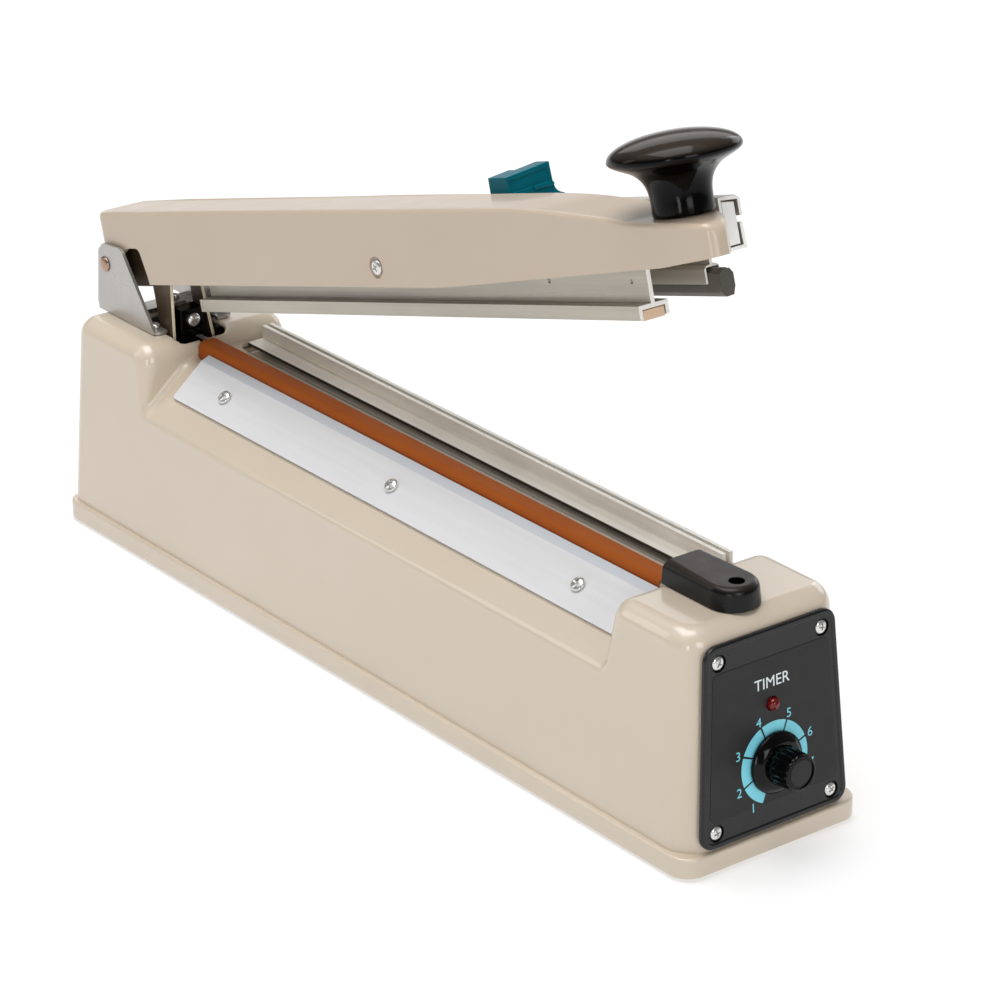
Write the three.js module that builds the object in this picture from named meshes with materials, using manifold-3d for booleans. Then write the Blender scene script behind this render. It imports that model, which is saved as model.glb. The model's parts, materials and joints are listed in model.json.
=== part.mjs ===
// Hand impulse heat sealer with a side cutter, in millimetres, +Z up.
// While it is drawn, x runs from the rear edge of the base towards the control panel, y from the
// operator's side to the cutter's side, and z from the bottom rim of the housing.
// The last lines centre the finished group on its bottom centre.
import * as THREE from 'three';
import { mergeVertices } from 'three/addons/utils/BufferGeometryUtils.js';
import Module from 'manifold-3d';

const wasm = await Module();
wasm.setup();

// ---- Driving dimensions -------------------------------------------------------------------
const DEG = Math.PI / 180;
const GAP = 0.3; // clearance between neighbouring pieces
const SHEET = 1.5; // thickness of the bent steel brackets

const BASE = { length: 434.5, width: 89.6, flange: 8.2, corner: 9, step: 2.3, top: 96, fillet: 8, wall: 2.5 };
const BODY_CORNER = { front: 13, rear: 9 }; // vertical edges of the body above the flange
const REAR_STEP = 0.8; // the flange is narrower behind
const MID_Y = BASE.width / 2;
const SIDE_DRAFT = Math.tan(2.7 * DEG);
const FRONT_LEAN = 4.3 * DEG;
const REAR_TURRET_END = 61.5;
const FRONT_TURRET_START = 379.5;
const SADDLE_TOP = 85.8; // flat between the turrets
const BEVEL = { y: 4.97, z: 65.4, slope: 0.85 }; // long sloping face on the operator's side
const WELL = { x0: 26, x1: 60.2, y0: 26.5, y1: 53 }; // opening in the rear turret for the arm's legs

const BED = { x0: 62, x1: 375.7, y: 40.2, half: 4.8, z0: 83, top: 92.4 };
const ELEMENT = { x0: 53.7, x1: 384, half: 1.5, z: 93.2, thick: 0.2 };
const PTFE_OUTER = { half: 5.3, top: 93.95, foot: 86.1, thick: 0.3 };
const CLAMP = { x0: 71, x1: 377.5, foot: 14.6, bend: 28.4, lip: 34.3, rise: 0.5, lift: 1.45 };
const CLAMP_SCREW_X = [100.5, 221.5, 342.5];
const RAIL = { x0: 65, x1: 375.5, y0: 58.9, step: 66.6, slot0: 68.6, slot1: 70.4, y1: 72.2, floor: 82.3 };
const RAIL_FLANGE_TOP = 89;
const RAIL_TOP = 95;

const PIVOT = { x: 11.5, z: 118.9 };
const ARM_REST = 16 * DEG; // how far the open arm is raised
const ARM_Y = 40.2; // centre plane of the arm, over the sealing bed
const ARM_NEAR = 22.5;
const ARM_FAR = 55;
const ARM_WALL = 1.8;
const YOKE = { near: 27.3, far: 50.3 }; // outer faces of its two legs
const BAR = { a0: 52.2, a1: 360.5, half: 7.1, top: -18.6, bottom: -24.1, webHalf: 1, webTop: 12 };
const HANDLE = { a: 387.4, foot: 14.9 };
const ARM_SCREW = { a: 208.9, h: -1.9, sunk: 1.1, pocket: 3.9 };
const TRACK = { a0: 54, a1: 385.5, y0: 58, y1: 68.5, bottom: -3.7, top: 16.8, skin: 1.4 };
const CUTTER_A = 248.4; // rest place of the cutter along the arm
const BLADE = { y0: 69.2, y1: 69.7, half: 9, tip: -27.5 };

const BRACKET = { near: 20, far: 60.4, seat: BASE.top + GAP };
const PANEL = { low: 9.4, high: 90, lowHalf: 36.7, highHalf: 32, thick: 2.5, corner: 6 };
const KNOB = { y: MID_Y + 0.4, z: 36, reach: 17.5 };
const LAMP = { y: MID_Y, z: 59.7, radius: 2.6 };
const FOOT_PROUD = 1.5;

// ---- Materials ----------------------------------------------------------------------------
function material(color, roughness, metalness) {
  return new THREE.MeshStandardMaterial({ color, roughness, metalness });
}
const cream = material(0xd9cbb6, 0.45, 0.1);
const zinc = material(0xb9b39c, 0.35, 0.9);
const chrome = material(0xc9cacb, 0.2, 1);
const steel = material(0xc4c5c8, 0.35, 0.9);
const aluminium = material(0xb6b3ac, 0.35, 0.9);
const copper = material(0xb98662, 0.35, 0.9);
const black = material(0x1b1b1c, 0.3, 0);
const charcoal = material(0x353538, 0.55, 0);
const rubber = material(0x4a4b48, 0.85, 0);
const silicone = material(0xc9a67f, 0.7, 0);
const ptfe = material(0x86461f, 0.5, 0);
const teal = material(0x00707c, 0.35, 0);
const red = material(0x7a1210, 0.2, 0);
const laminations = material(0x5c5a57, 0.6, 0.6);
const winding = material(0xc98a2b, 0.6, 0);
const board = material(0x2f6a3a, 0.6, 0);

// ---- Shape helpers ------------------------------------------------------------------------
function solid(geometry) {
  const plain = geometry.clone();
  plain.deleteAttribute('normal');
  plain.deleteAttribute('uv');
  const merged = mergeVertices(plain, 1e-4);
  const vertProperties = new Float32Array(merged.attributes.position.array);
  const triVerts = new Uint32Array(merged.index.array);
  return new wasm.Manifold(new wasm.Mesh({ numProp: 3, vertProperties, triVerts }));
}

function geometryOf(body) {
  const mesh = body.getMesh();
  const geometry = new THREE.BufferGeometry();
  const stride = mesh.numProp;
  const count = mesh.vertProperties.length / stride;
  const position = new Float32Array(count * 3);
  for (let i = 0; i < count; i++) {
    position.set(mesh.vertProperties.subarray(i * stride, i * stride + 3), i * 3);
  }
  geometry.setAttribute('position', new THREE.BufferAttribute(position, 3));
  geometry.setIndex(new THREE.BufferAttribute(new Uint32Array(mesh.triVerts), 1));
  geometry.computeVertexNormals();
  return geometry;
}

function box(x0, x1, y0, y1, z0, z1) {
  const geometry = new THREE.BoxGeometry(x1 - x0, y1 - y0, z1 - z0);
  geometry.translate((x0 + x1) / 2, (y0 + y1) / 2, (z0 + z1) / 2);
  return solid(geometry);
}

// A closed prism of an outline. 'x': outline is (y, z). 'y': outline is (x, z). 'z': outline is (x, y).
function prism(outline, axis, from, to) {
  const shape = new THREE.Shape(outline.map(([u, v]) => new THREE.Vector2(u, v)));
  const geometry = new THREE.ExtrudeGeometry(shape, { depth: to - from, bevelEnabled: false });
  geometry.translate(0, 0, from);
  const turn = new THREE.Matrix4();
  if (axis === 'x') turn.set(0, 0, 1, 0, 1, 0, 0, 0, 0, 1, 0, 0, 0, 0, 0, 1);
  if (axis === 'y') turn.set(1, 0, 0, 0, 0, 0, -1, from + to, 0, 1, 0, 0, 0, 0, 0, 1);
  if (axis !== 'z') geometry.applyMatrix4(turn);
  return solid(geometry);
}

// A rod along an axis through (x, y, z), from `from` to `to` along that axis.
function rod(axis, centre, radius, from, to, sides = 20) {
  const geometry = new THREE.CylinderGeometry(radius, radius, to - from, sides);
  geometry.translate(0, (from + to) / 2, 0);
  if (axis === 'x') geometry.rotateZ(-Math.PI / 2);
  if (axis === 'z') geometry.rotateX(Math.PI / 2);
  const place = { x: [0, centre[0], centre[1]], y: [centre[0], 0, centre[1]], z: [centre[0], centre[1], 0] };
  geometry.translate(...place[axis]);
  return solid(geometry);
}

// A turned piece: the profile holds (radius, height) from the axis back to the axis.
// It stands along `axis`, with its zero height at the centre point.
function turned(profile, axis, centre, sides = 24) {
  const points = profile.map(([r, h]) => new THREE.Vector2(r, h));
  const geometry = new THREE.LatheGeometry(points, sides);
  if (axis === 'x') geometry.rotateZ(-Math.PI / 2);
  if (axis === 'z') geometry.rotateX(Math.PI / 2);
  geometry.translate(...centre);
  return solid(geometry);
}

// A rectangle with rounded corners; `low` is the radius of the corners at x0, where it differs.
function roundedOutline(x0, x1, y0, y1, radius, steps = 4, low = radius) {
  const points = [];
  const corners = [[x1 - radius, y1 - radius, radius], [x0 + low, y1 - low, low],
    [x0 + low, y0 + low, low], [x1 - radius, y0 + radius, radius]];
  corners.forEach(([cx, cy, r], quarter) => {
    for (let i = 0; i <= steps; i++) {
      const angle = (quarter + i / steps) * Math.PI / 2;
      points.push([cx + r * Math.cos(angle), cy + r * Math.sin(angle)]);
    }
  });
  return points;
}

// A closed skin over rings of equal point counts, each ring convex and anticlockwise from its far end.
function loft(rings) {
  const count = rings[0].length;
  const vertices = rings.flat();
  const faces = [];
  for (let r = 0; r + 1 < rings.length; r++) {
    for (let i = 0; i < count; i++) {
      const a = r * count + i;
      const b = r * count + (i + 1) % count;
      faces.push(a, b, b + count, a, b + count, a + count);
    }
  }
  const last = (rings.length - 1) * count;
  for (let i = 1; i + 1 < count; i++) {
    faces.push(0, i + 1, i, last, last + i, last + i + 1);
  }
  const geometry = new THREE.BufferGeometry();
  geometry.setAttribute('position', new THREE.Float32BufferAttribute(vertices.flat(), 3));
  geometry.setIndex(faces);
  return solid(geometry);
}

function join(pieces) {
  return pieces.reduce((whole, piece) => whole.add(piece));
}

function cut(body, tools) {
  return tools.reduce((left, tool) => left.subtract(tool), body);
}

const model = new THREE.Group();
const armGroup = new THREE.Group();
armGroup.position.set(PIVOT.x, 0, PIVOT.z);
armGroup.rotation.y = -ARM_REST;
model.add(armGroup);

function addPiece(name, body, finish, parent = model) {
  const mesh = new THREE.Mesh(geometryOf(body), finish);
  mesh.name = name;
  parent.add(mesh);
  return mesh;
}

// A pan-head cross-recess screw. `turn` is the rotation in degrees that points its head, which is
// drawn upwards, out of the work; the head is seated at `seat`.
const UPWARDS = [0, 0, 0];
const FORWARDS = [0, 90, 0];
const TO_OPERATOR = [90, 0, 0];

function screw(turn, seat, head, shank) {
  const profile = [[0, -shank.length], [shank.radius, -shank.length], [shank.radius, 0], [head.radius, 0],
    [head.radius, head.height * 0.45], [head.radius * 0.75, head.height * 0.9], [0, head.height]];
  const body = turned(profile, 'z', [0, 0, 0], 16);
  const arm = head.radius * 0.62;
  const slot = head.radius * 0.13;
  const depth = head.height * 0.45;
  const tools = [box(-arm, arm, -slot, slot, depth, 9), box(-slot, slot, -arm, arm, depth, 9)];
  return cut(body, tools).rotate(turn).translate(seat);
}

// ---- Housing ------------------------------------------------------------------------------
// Outline of the drafted body at height z, moved inwards by `inset`.
function bodyRing(z, inset) {
  const draft = (z - BASE.flange) * SIDE_DRAFT + inset;
  const front = BASE.step + (z - BASE.flange) * Math.tan(FRONT_LEAN) + inset;
  const side = BASE.step + draft;
  const outline = roundedOutline(REAR_STEP + draft, BASE.length - front, side, BASE.width - side,
    BODY_CORNER.front - inset, 4, BODY_CORNER.rear - inset);
  return outline.map(([x, y]) => [x, y, z]);
}

function bodyBlock(bottom, inset, fillet) {
  const rings = [bodyRing(bottom, inset)];
  const steps = 4;
  for (let i = 0; i <= steps; i++) {
    const angle = (i / steps) * Math.PI / 2;
    const pull = fillet * (1 - Math.cos(angle));
    const z = BASE.top - inset - fillet + fillet * Math.sin(angle);
    rings.push(bodyRing(z, inset + pull));
  }
  return loft(rings);
}

// What is cut away between the turrets: above the bevel and above the flat saddle.
function saddleCut(shrink) {
  const drop = shrink * Math.hypot(1, BEVEL.slope);
  const low = -6;
  const lowZ = BEVEL.z + (low - BEVEL.y) * BEVEL.slope - drop;
  const flat = SADDLE_TOP - shrink;
  const cornerY = BEVEL.y + (flat + drop - BEVEL.z) / BEVEL.slope;
  const outline = [[low, lowZ], [cornerY, flat], [95, flat], [95, 130], [low, 130]];
  return prism(outline, 'x', REAR_TURRET_END - shrink, FRONT_TURRET_START + shrink);
}

const frontFaceX = (z) => BASE.length - BASE.step - (z - BASE.flange) * Math.tan(FRONT_LEAN);
const rearFaceX = (z) => REAR_STEP + (z - BASE.flange) * SIDE_DRAFT;
const GLAND = { y: 28, z: 24, radius: 6 };
const FUSE = { y: 58, z: 24, radius: 6.2 };
const CAP = { x0: 383.5, x1: 422.5, half: 11, top: 105.5, screwX: 413.8 };

function makeHousing() {
  const flange = prism(roundedOutline(0, BASE.length, 0, BASE.width, BASE.corner, 6), 'z', 0, BASE.flange);
  const outer = join([flange, bodyBlock(BASE.flange - 1, 0, BASE.fillet)]).subtract(saddleCut(0));
  const cavity = bodyBlock(-1, BASE.wall, BASE.fillet - BASE.wall).subtract(saddleCut(BASE.wall));
  const panelWindow = box(BASE.length - 30, BASE.length + 5, 16, 74, 22, 78);
  const well = box(WELL.x0, WELL.x1, WELL.y0, WELL.y1, 70, 120);
  const bedSlot = box(BED.x0 - GAP, BED.x1 + GAP, BED.y - BED.half - GAP, BED.y + BED.half + GAP, 80, 100);
  const railSlot = box(REAR_TURRET_END + 0.5, FRONT_TURRET_START - 0.5, 57.3, 74.5, RAIL.floor - GAP, 100);
  const capPocket = box(386, 408, BED.y - 7, BED.y + 7, 86, 110);
  const elementSlots = [[WELL.x1 - 1, BED.x0 + 1], [BED.x1 - 1, 388]].map(([x0, x1]) => (
    box(x0, x1, BED.y - 2.2, BED.y + 2.2, ELEMENT.z - 0.6, 110)));
  const tools = [cavity, panelWindow, well, bedSlot, railSlot, capPocket, ...elementSlots];
  for (const x of CLAMP_SCREW_X) {
    tools.push(clampScrewHole(x));
  }
  tools.push(rod('z', [CAP.screwX, BED.y], 1.8, 80, 110, 12));
  tools.push(rod('x', [GLAND.y, GLAND.z], GLAND.radius + GAP, -5, 12));
  tools.push(rod('x', [FUSE.y, FUSE.z], FUSE.radius + GAP, -5, 12));
  for (const [x, y] of BRACKET_SCREWS) {
    tools.push(rod('z', [x, y], 1.9, 85, 110, 12));
  }
  for (const { y, z } of PANEL_SCREWS) {
    tools.push(rod('x', [y, z], 1.9, BASE.length - 30, BASE.length + 5, 12));
  }
  // A trough under the saddle carries the rail.
  const troughFloor = RAIL.floor - GAP - 2.5;
  const trough = box(REAR_TURRET_END - 1, FRONT_TURRET_START + 1, 55, 77, troughFloor, SADDLE_TOP - 0.5);
  return join([cut(outer, tools), cut(trough, [railSlot, well])]);
}

// ---- Pieces on the saddle -----------------------------------------------------------------
const bevelAngle = Math.atan(BEVEL.slope);
const clampScrewY = 22.8;
const clampOuterZ = (y) => BEVEL.z + (y - BEVEL.y) * BEVEL.slope + CLAMP.lift / Math.cos(bevelAngle);

function onBevel(body, x) {
  return body.rotate([bevelAngle / DEG, 0, 0]).translate([x, clampScrewY, clampOuterZ(clampScrewY)]);
}

function clampScrewHole(x) {
  return onBevel(rod('z', [0, 0], 1.9, -20, 5, 12), x);
}

function makeClampPlate() {
  const thick = 1;
  const bendZ = clampOuterZ(CLAMP.bend);
  const lipZ = bendZ + (CLAMP.lip - CLAMP.bend) * CLAMP.rise;
  const dropLow = thick / Math.cos(bevelAngle);
  const dropHigh = thick / Math.cos(Math.atan(CLAMP.rise));
  const outline = [[CLAMP.foot, clampOuterZ(CLAMP.foot)],
    [CLAMP.foot + 0.65, clampOuterZ(CLAMP.foot + 0.65) - dropLow],
    [CLAMP.bend + 0.3, clampOuterZ(CLAMP.bend + 0.3) - dropLow - 0.05],
    [CLAMP.lip, lipZ - dropHigh], [CLAMP.lip, lipZ], [CLAMP.bend, bendZ]];
  const plate = prism(outline, 'x', CLAMP.x0, CLAMP.x1);
  return cut(plate, CLAMP_SCREW_X.map(clampScrewHole));
}

function makePtfe() {
  const { half, top, foot, thick } = PTFE_OUTER;
  const round = 1.8;
  const skin = (h, z) => [[BED.y - h, foot], [BED.y + h, foot], [BED.y + h, z - round],
    [BED.y + h - round * 0.3, z - round * 0.3], [BED.y + h - round, z], [BED.y - h + round, z],
    [BED.y - h + round * 0.3, z - round * 0.3], [BED.y - h, z - round]];
  const inner = skin(half - thick, top - thick);
  inner[0][1] = foot - 1;
  inner[1][1] = foot - 1;
  return prism(skin(half, top), 'x', BED.x0, BED.x1).subtract(prism(inner, 'x', BED.x0 - 1, BED.x1 + 1));
}

function makeBed() {
  const h = BED.half;
  const outline = [[BED.y - h, BED.z0], [BED.y + h, BED.z0], [BED.y + h, BED.top - 1.8],
    [BED.y + h - 0.6, BED.top - 0.5], [BED.y + h - 1.8, BED.top], [BED.y - h + 1.8, BED.top],
    [BED.y - h + 0.6, BED.top - 0.5], [BED.y - h, BED.top - 1.8]];
  return prism(outline, 'x', BED.x0, BED.x1);
}

function makeRail() {
  const { y0, step, slot0, slot1, y1, floor } = RAIL;
  const slotFloor = floor + 3;
  const outline = [[y0, floor], [y1, floor], [y1, RAIL_TOP], [slot1, RAIL_TOP], [slot1, slotFloor],
    [slot0, slotFloor], [slot0, RAIL_TOP], [step, RAIL_TOP], [step, RAIL_FLANGE_TOP], [y0, RAIL_FLANGE_TOP],
    [y0, RAIL_FLANGE_TOP - 1.6], [step, RAIL_FLANGE_TOP - 1.6], [step, floor + 1.5], [y0, floor + 1.5]];
  return prism(outline, 'x', RAIL.x0, RAIL.x1);
}

function makeCap() {
  // Each level is a round-fronted outline that may be narrower at its rear edge.
  const ring = (z, rearHalf, half, x1) => {
    const points = [[CAP.x0, BED.y + rearHalf], [CAP.x0, BED.y - rearHalf]];
    for (let i = 0; i <= 8; i++) {
      const angle = (-90 + i * 22.5) * DEG;
      points.push([x1 - half + half * Math.cos(angle), BED.y + half * Math.sin(angle)]);
    }
    return points.map(([x, y]) => [x, y, z]);
  };
  const seat = BASE.top + GAP;
  const side = CAP.half - 0.4;
  const outer = loft([ring(seat, CAP.half, CAP.half, CAP.x1), ring(CAP.top - 3, side, side, CAP.x1 - 0.4),
    ring(CAP.top, 6.1, 8.6, CAP.x1 - 2.6)]);
  const inner = box(CAP.x0 + 2, 408, BED.y - 7.5, BED.y + 7.5, seat - 1, CAP.top - 3.5);
  const mouth = box(CAP.x0 - 1, CAP.x0 + 4, BED.y - 4, BED.y + 4, seat - 1, seat + 3);
  const hole = rod('z', [CAP.screwX, BED.y], 3.1, seat + 3, CAP.top + 1, 20);
  const shank = rod('z', [CAP.screwX, BED.y], 1.8, seat - 1, seat + 4, 12);
  return cut(outer, [inner, mouth, hole, shank]);
}

// ---- Hinge --------------------------------------------------------------------------------
const BRACKET_SCREWS = [[44, 24.2], [44, 56.2], [18.5, 29.5], [18.5, 51]];
const PIN_RADIUS = 2.4;
const SPRING_ANCHOR = { x: 106.5, y: YOKE.far - SHEET / 2, z: 78 };

function makeHingeBracket() {
  const z0 = BRACKET.seat;
  const end = 50.3;
  const outline = [[5, z0], [end, z0], [end - 0.9, z0 + 1.5], [25.9, 128], [23.5, 129.3], [10, 127.9],
    [6.1, 124.5], [4.1, 99]];
  const near = prism(outline, 'y', BRACKET.near, BRACKET.near + SHEET);
  const far = prism(outline, 'y', BRACKET.far - SHEET, BRACKET.far);
  const floor = box(14.5, end, BRACKET.near, BRACKET.far, z0, z0 + SHEET);
  const well = box(WELL.x0 - 2, 80, WELL.y0, WELL.y1, z0 - 1, z0 + 5);
  const bore = rod('y', [PIVOT.x, PIVOT.z], PIN_RADIUS + GAP, 10, 70);
  const holes = BRACKET_SCREWS.map(([x, y]) => rod('z', [x, y], 1.9, 85, 110, 12));
  return cut(join([near, far, floor]), [well, bore, ...holes]);
}

function makeHingePin() {
  const head = 3.5;
  const out = 1.2;
  const near = BRACKET.near - GAP;
  const far = BRACKET.far + GAP;
  const profile = [[0, near - out], [head * 0.7, near - out], [head, near - out * 0.4], [head, near],
    [PIN_RADIUS, near], [PIN_RADIUS, far], [head, far], [head, far + out * 0.4], [head * 0.7, far + out],
    [0, far + out]];
  return turned(profile, 'y', [PIVOT.x, 0, PIVOT.z], 20);
}

// Fixed angle under the saddle that anchors the return spring.
function makeSpringBracket() {
  const { x, y, z } = SPRING_ANCHOR;
  const ceiling = SADDLE_TOP - BASE.wall - GAP;
  const tab = box(x, x + SHEET, y - 4, y + 4, z - 8, ceiling);
  const flange = box(x, x + 18, y - 4, y + 4, ceiling - SHEET, ceiling);
  const eye = rod('x', [y, z], 1.5, x - 5, x + 5, 12);
  const fixing = rod('z', [x + 11, y], 1.7, z, ceiling + 5, 12);
  return cut(join([tab, flange]), [eye, fixing]);
}

// Return spring: a straight lead from the arm's far leg, close coils, and a lead to the anchor tab.
class SpringCurve extends THREE.Curve {
  constructor(from, to, radius, turns, wire) {
    super();
    Object.assign(this, { from, to, radius, turns, wire });
  }

  getPoint(t, target = new THREE.Vector3()) {
    const lead = 0.06;
    const along = this.from + (this.to - this.from) * t;
    const spin = THREE.MathUtils.clamp((t - lead) / (1 - 2 * lead), 0, 1);
    const swell = Math.min(1, Math.min(t, 1 - t) / lead);
    const angle = spin * this.turns * 2 * Math.PI;
    const r = this.radius * swell;
    return target.set(along, SPRING_ANCHOR.y + r * Math.sin(angle), SPRING_ANCHOR.z + r * Math.cos(angle));
  }
}

function makeReturnSpring() {
  const curve = new SpringCurve(56, SPRING_ANCHOR.x - GAP, 3.8, 11, 0.7);
  const section = new THREE.Shape();
  section.absarc(0, 0, curve.wire, 0, 2 * Math.PI);
  const options = { steps: 150, bevelEnabled: false, extrudePath: curve, curveSegments: 3 };
  return solid(new THREE.ExtrudeGeometry(section, options));
}

// ---- Electrical pieces --------------------------------------------------------------------
const SWITCH = { x0: 14.5, x1: 28, y: YOKE.far - SHEET / 2, z: 73, half: 13 };
const PLUNGER = { inside: 5.4, tip: 2.8, radius: 1.4, stroke: 2 }; // lengths are from the switch's face

function makeMicroSwitch() {
  const { x0, x1, y, z, half } = SWITCH;
  const body = box(x0, x1, y - 5, y + 5, z - half, z + half);
  const holes = [-8.5, 8.5].map((rise) => rod('y', [x0 + 6.5, z + rise], 1.5, y - 9, y + 9, 12));
  const boreEnd = x1 - PLUNGER.inside - PLUNGER.stroke - 0.6;
  const plungerBore = rod('x', [y, z], PLUNGER.radius + 0.4, boreEnd, x1 + 2, 12);
  const tab = (height) => box(x0 - 1.9, x0 + 0.5, y - 2.7, y + 2.8, height - 1.5, height + 1.5);
  const tabs = [z - 10, z, z + 10].map(tab);
  return cut(join([body, ...tabs]), [...holes, plungerBore]);
}

function makeSwitchPlunger() {
  const { x1, y, z } = SWITCH;
  const { inside, tip, radius } = PLUNGER;
  const end = x1 + tip;
  const profile = [[0, x1 - inside], [radius, x1 - inside], [radius, end - 0.6], [0.8, end], [0, end]];
  return turned(profile, 'x', [0, y, z], 16);
}

function makeTransformerCore() {
  const block = box(180, 246, 30, 56, 6, 61);
  const windows = [box(191, 202, 20, 70, 17, 50), box(224, 235, 20, 70, 17, 50)];
  const feet = box(168, 258, 36, 50, 2.9, 6);
  return cut(join([block, feet]), windows);
}

function makeTransformerCoil() {
  const outer = prism(roundedOutline(191.4, 234.6, 20, 66, 5, 3), 'z', 17.4, 49.6);
  return outer.subtract(box(201.6, 224.4, 29.6, 56.4, 10, 60));
}

const REAR_TERMINAL = { x0: 45.5, face: 53, y0: 32, y1: 43.6, bottom: 84, top: 106 };
const REAR_TERMINAL_SCREW = { y: 38.2, z: 101 };

function makeRearTerminal() {
  const { x0, face, y0, y1, bottom, top } = REAR_TERMINAL;
  const post = box(x0, face, y0, y1, bottom, top);
  const shelf = box(x0, WELL.x1 - 1.2, y0, y1, bottom, ELEMENT.z - 0.4);
  const clampHole = rod('x', [REAR_TERMINAL_SCREW.y, REAR_TERMINAL_SCREW.z], 1.6, face - 6, face + 5, 12);
  return join([post, shelf]).subtract(clampHole);
}

function makeFrontTerminal() {
  const body = box(386.4, 407.6, BED.y - 6.6, BED.y + 6.6, 86, 92.8);
  return body.subtract(rod('z', [398, BED.y], 1.6, 80, 100, 12));
}

// ---- Arm, drawn level with its pivot at (0, y, 0) -------------------------------------------
// Stations along the cover: distance from the pivot, near side, far side, top and bottom edge.
const ARM_TAIL = { a: -8.5, corner: 9.5 }; // rear end, with its near corner rounded in plan
const tailStations = [0, 22, 45, 68, 90].map((angle) => {
  const { a, corner } = ARM_TAIL;
  const along = a + corner * (1 - Math.cos(angle * DEG));
  return [along, ARM_NEAR + corner * (1 - Math.sin(angle * DEG)), 52.4, 22.4, -10];
});
const ARM_STATIONS = [...tailStations, [40, ARM_NEAR, 53, 22.6, -10], [120, ARM_NEAR, 53.6, 22.3, -10],
  [200, ARM_NEAR, 54.8, 21.9, -10], [251, ARM_NEAR, ARM_FAR, 21.5, -10], [300, ARM_NEAR, 54.9, 21, -7.2],
  [318, ARM_NEAR, 54.6, 20.4, -6.2], [345, ARM_NEAR, 54, 18.1, -4.7], [373, ARM_NEAR, 53, 14.6, -3.1],
  [384, ARM_NEAR, 52.3, 14.6, -2.3], [391, ARM_NEAR, 51.5, 14.55, -1.9], [400, ARM_NEAR, 47.5, 14.5, -1],
  [410, ARM_NEAR, 39.8, 14.5, 0.4], [416, ARM_NEAR + 0.6, 35, 14.4, 1.1],
  [419.5, ARM_NEAR + 2.6, 31.8, 14.2, 1.5], [421, ARM_NEAR + 5, 29.5, 14, 1.7]];

function coverRing([a, near, far, top, bottom], inset, drop) {
  const round = 2.4 - inset;
  const steps = 3;
  const ring = [[a, near + inset, bottom - drop], [a, far - inset, bottom - drop]];
  for (let i = 0; i <= steps; i++) {
    const angle = (i / steps) * 90 * DEG;
    const y = far - inset - round + round * Math.cos(angle);
    ring.push([a, y, top - inset - round + round * Math.sin(angle)]);
  }
  for (let i = 0; i <= steps; i++) {
    const angle = (90 + (i / steps) * 90) * DEG;
    const y = near + inset + round + round * Math.cos(angle);
    ring.push([a, y, top - inset - round + round * Math.sin(angle)]);
  }
  return ring;
}

function makeArmCover() {
  const outer = loft(ARM_STATIONS.map((station) => coverRing(station, 0, 0)));
  const rear = ARM_TAIL.a + ARM_WALL;
  const inside = ARM_STATIONS.filter(([a]) => a < 417).map(([a, ...sides]) => [Math.max(a, rear), ...sides]);
  const hollow = loft(inside.map((station) => coverRing(station, ARM_WALL, 20)));
  const notchOutline = [[12, -12], [30.9, -12], [28.6, -3], [25, 3.6], [22, 5.8], [18, 5], [14, 1]];
  const notch = prism(notchOutline, 'y', 10, 70);
  const rearMouth = box(-12, -5, ARM_NEAR + 8, 50, -20, 2);
  const tools = [hollow, notch, rearMouth, rod('y', [0, 0], PIN_RADIUS + 0.5, 10, 70)];
  tools.push(rod('y', [ARM_SCREW.a, ARM_SCREW.h], 1.9, 10, 70, 12));
  tools.push(rod('y', [ARM_SCREW.a, ARM_SCREW.h], ARM_SCREW.pocket, 10, ARM_NEAR + ARM_SCREW.sunk, 16));
  tools.push(rod('z', [HANDLE.a, ARM_Y], 3.4, 5, 30, 16));
  return cut(outer, tools);
}

function makePressBar() {
  const { half, top, bottom, webHalf, webTop } = BAR;
  const pocket = half - 1.7;
  const outline = [[-half, bottom], [-pocket, bottom], [-pocket, top - 1.8], [pocket, top - 1.8],
    [pocket, bottom], [half, bottom], [half, top], [webHalf, top], [webHalf, webTop], [-webHalf, webTop],
    [-webHalf, top], [-half, top]].map(([y, h]) => [ARM_Y + y, h]);
  const bar = prism(outline, 'x', BAR.a0, BAR.a1);
  const holes = [[351, -10.6], [300, -10.6], [ARM_SCREW.a, ARM_SCREW.h]];
  return cut(bar, holes.map(([a, h]) => rod('y', [a, h], 0.9, 30, 50, 10)));
}

function makeSiliconeStrip() {
  const half = BAR.half - 1.7 - GAP;
  return box(BAR.a0 + 0.3, BAR.a1 - 0.3, ARM_Y - half, ARM_Y + half, BAR.bottom - 0.5, BAR.top - 1.8 - GAP);
}

// Steel yoke inside the cover: two cheeks on the hinge pin, joined by a back plate, each with a leg
// that reaches down into the rear turret. The spring pulls the far leg, which also presses the switch.
function makeArmYoke() {
  const { near, far } = YOKE;
  const nearCheek = [[-4.5, 3], [-4.5, -3], [-2, -5], [2, -5], [9.5, -11.6], [24.8, -11.6], [24.9, -38],
    [33, -38], [39.4, -11.5], [41, 5], [95, 10], [95, 19], [1.5, 19]];
  const farCheek = [[-4.5, 3], [-4.5, -3], [-2, -5], [2, -5], [16, 6], [20, -10], [20, -52], [22, -55],
    [29, -55], [31, -53], [31, -38], [29, -17], [29, 5], [95, 10], [95, 19], [1.5, 19]];
  const nearPlate = prism(nearCheek, 'y', near, near + SHEET);
  const farPlate = prism(farCheek, 'y', far - SHEET, far);
  const back = box(14, 95, near, far, 17.5, 19);
  const bore = rod('y', [0, 0], PIN_RADIUS + 0.4, 10, 70);
  const springEye = rod('y', [27, -51.5], 1.3, far - 5, far + 5, 12);
  return cut(join([nearPlate, farPlate, back]), [bore, springEye]);
}

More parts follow.
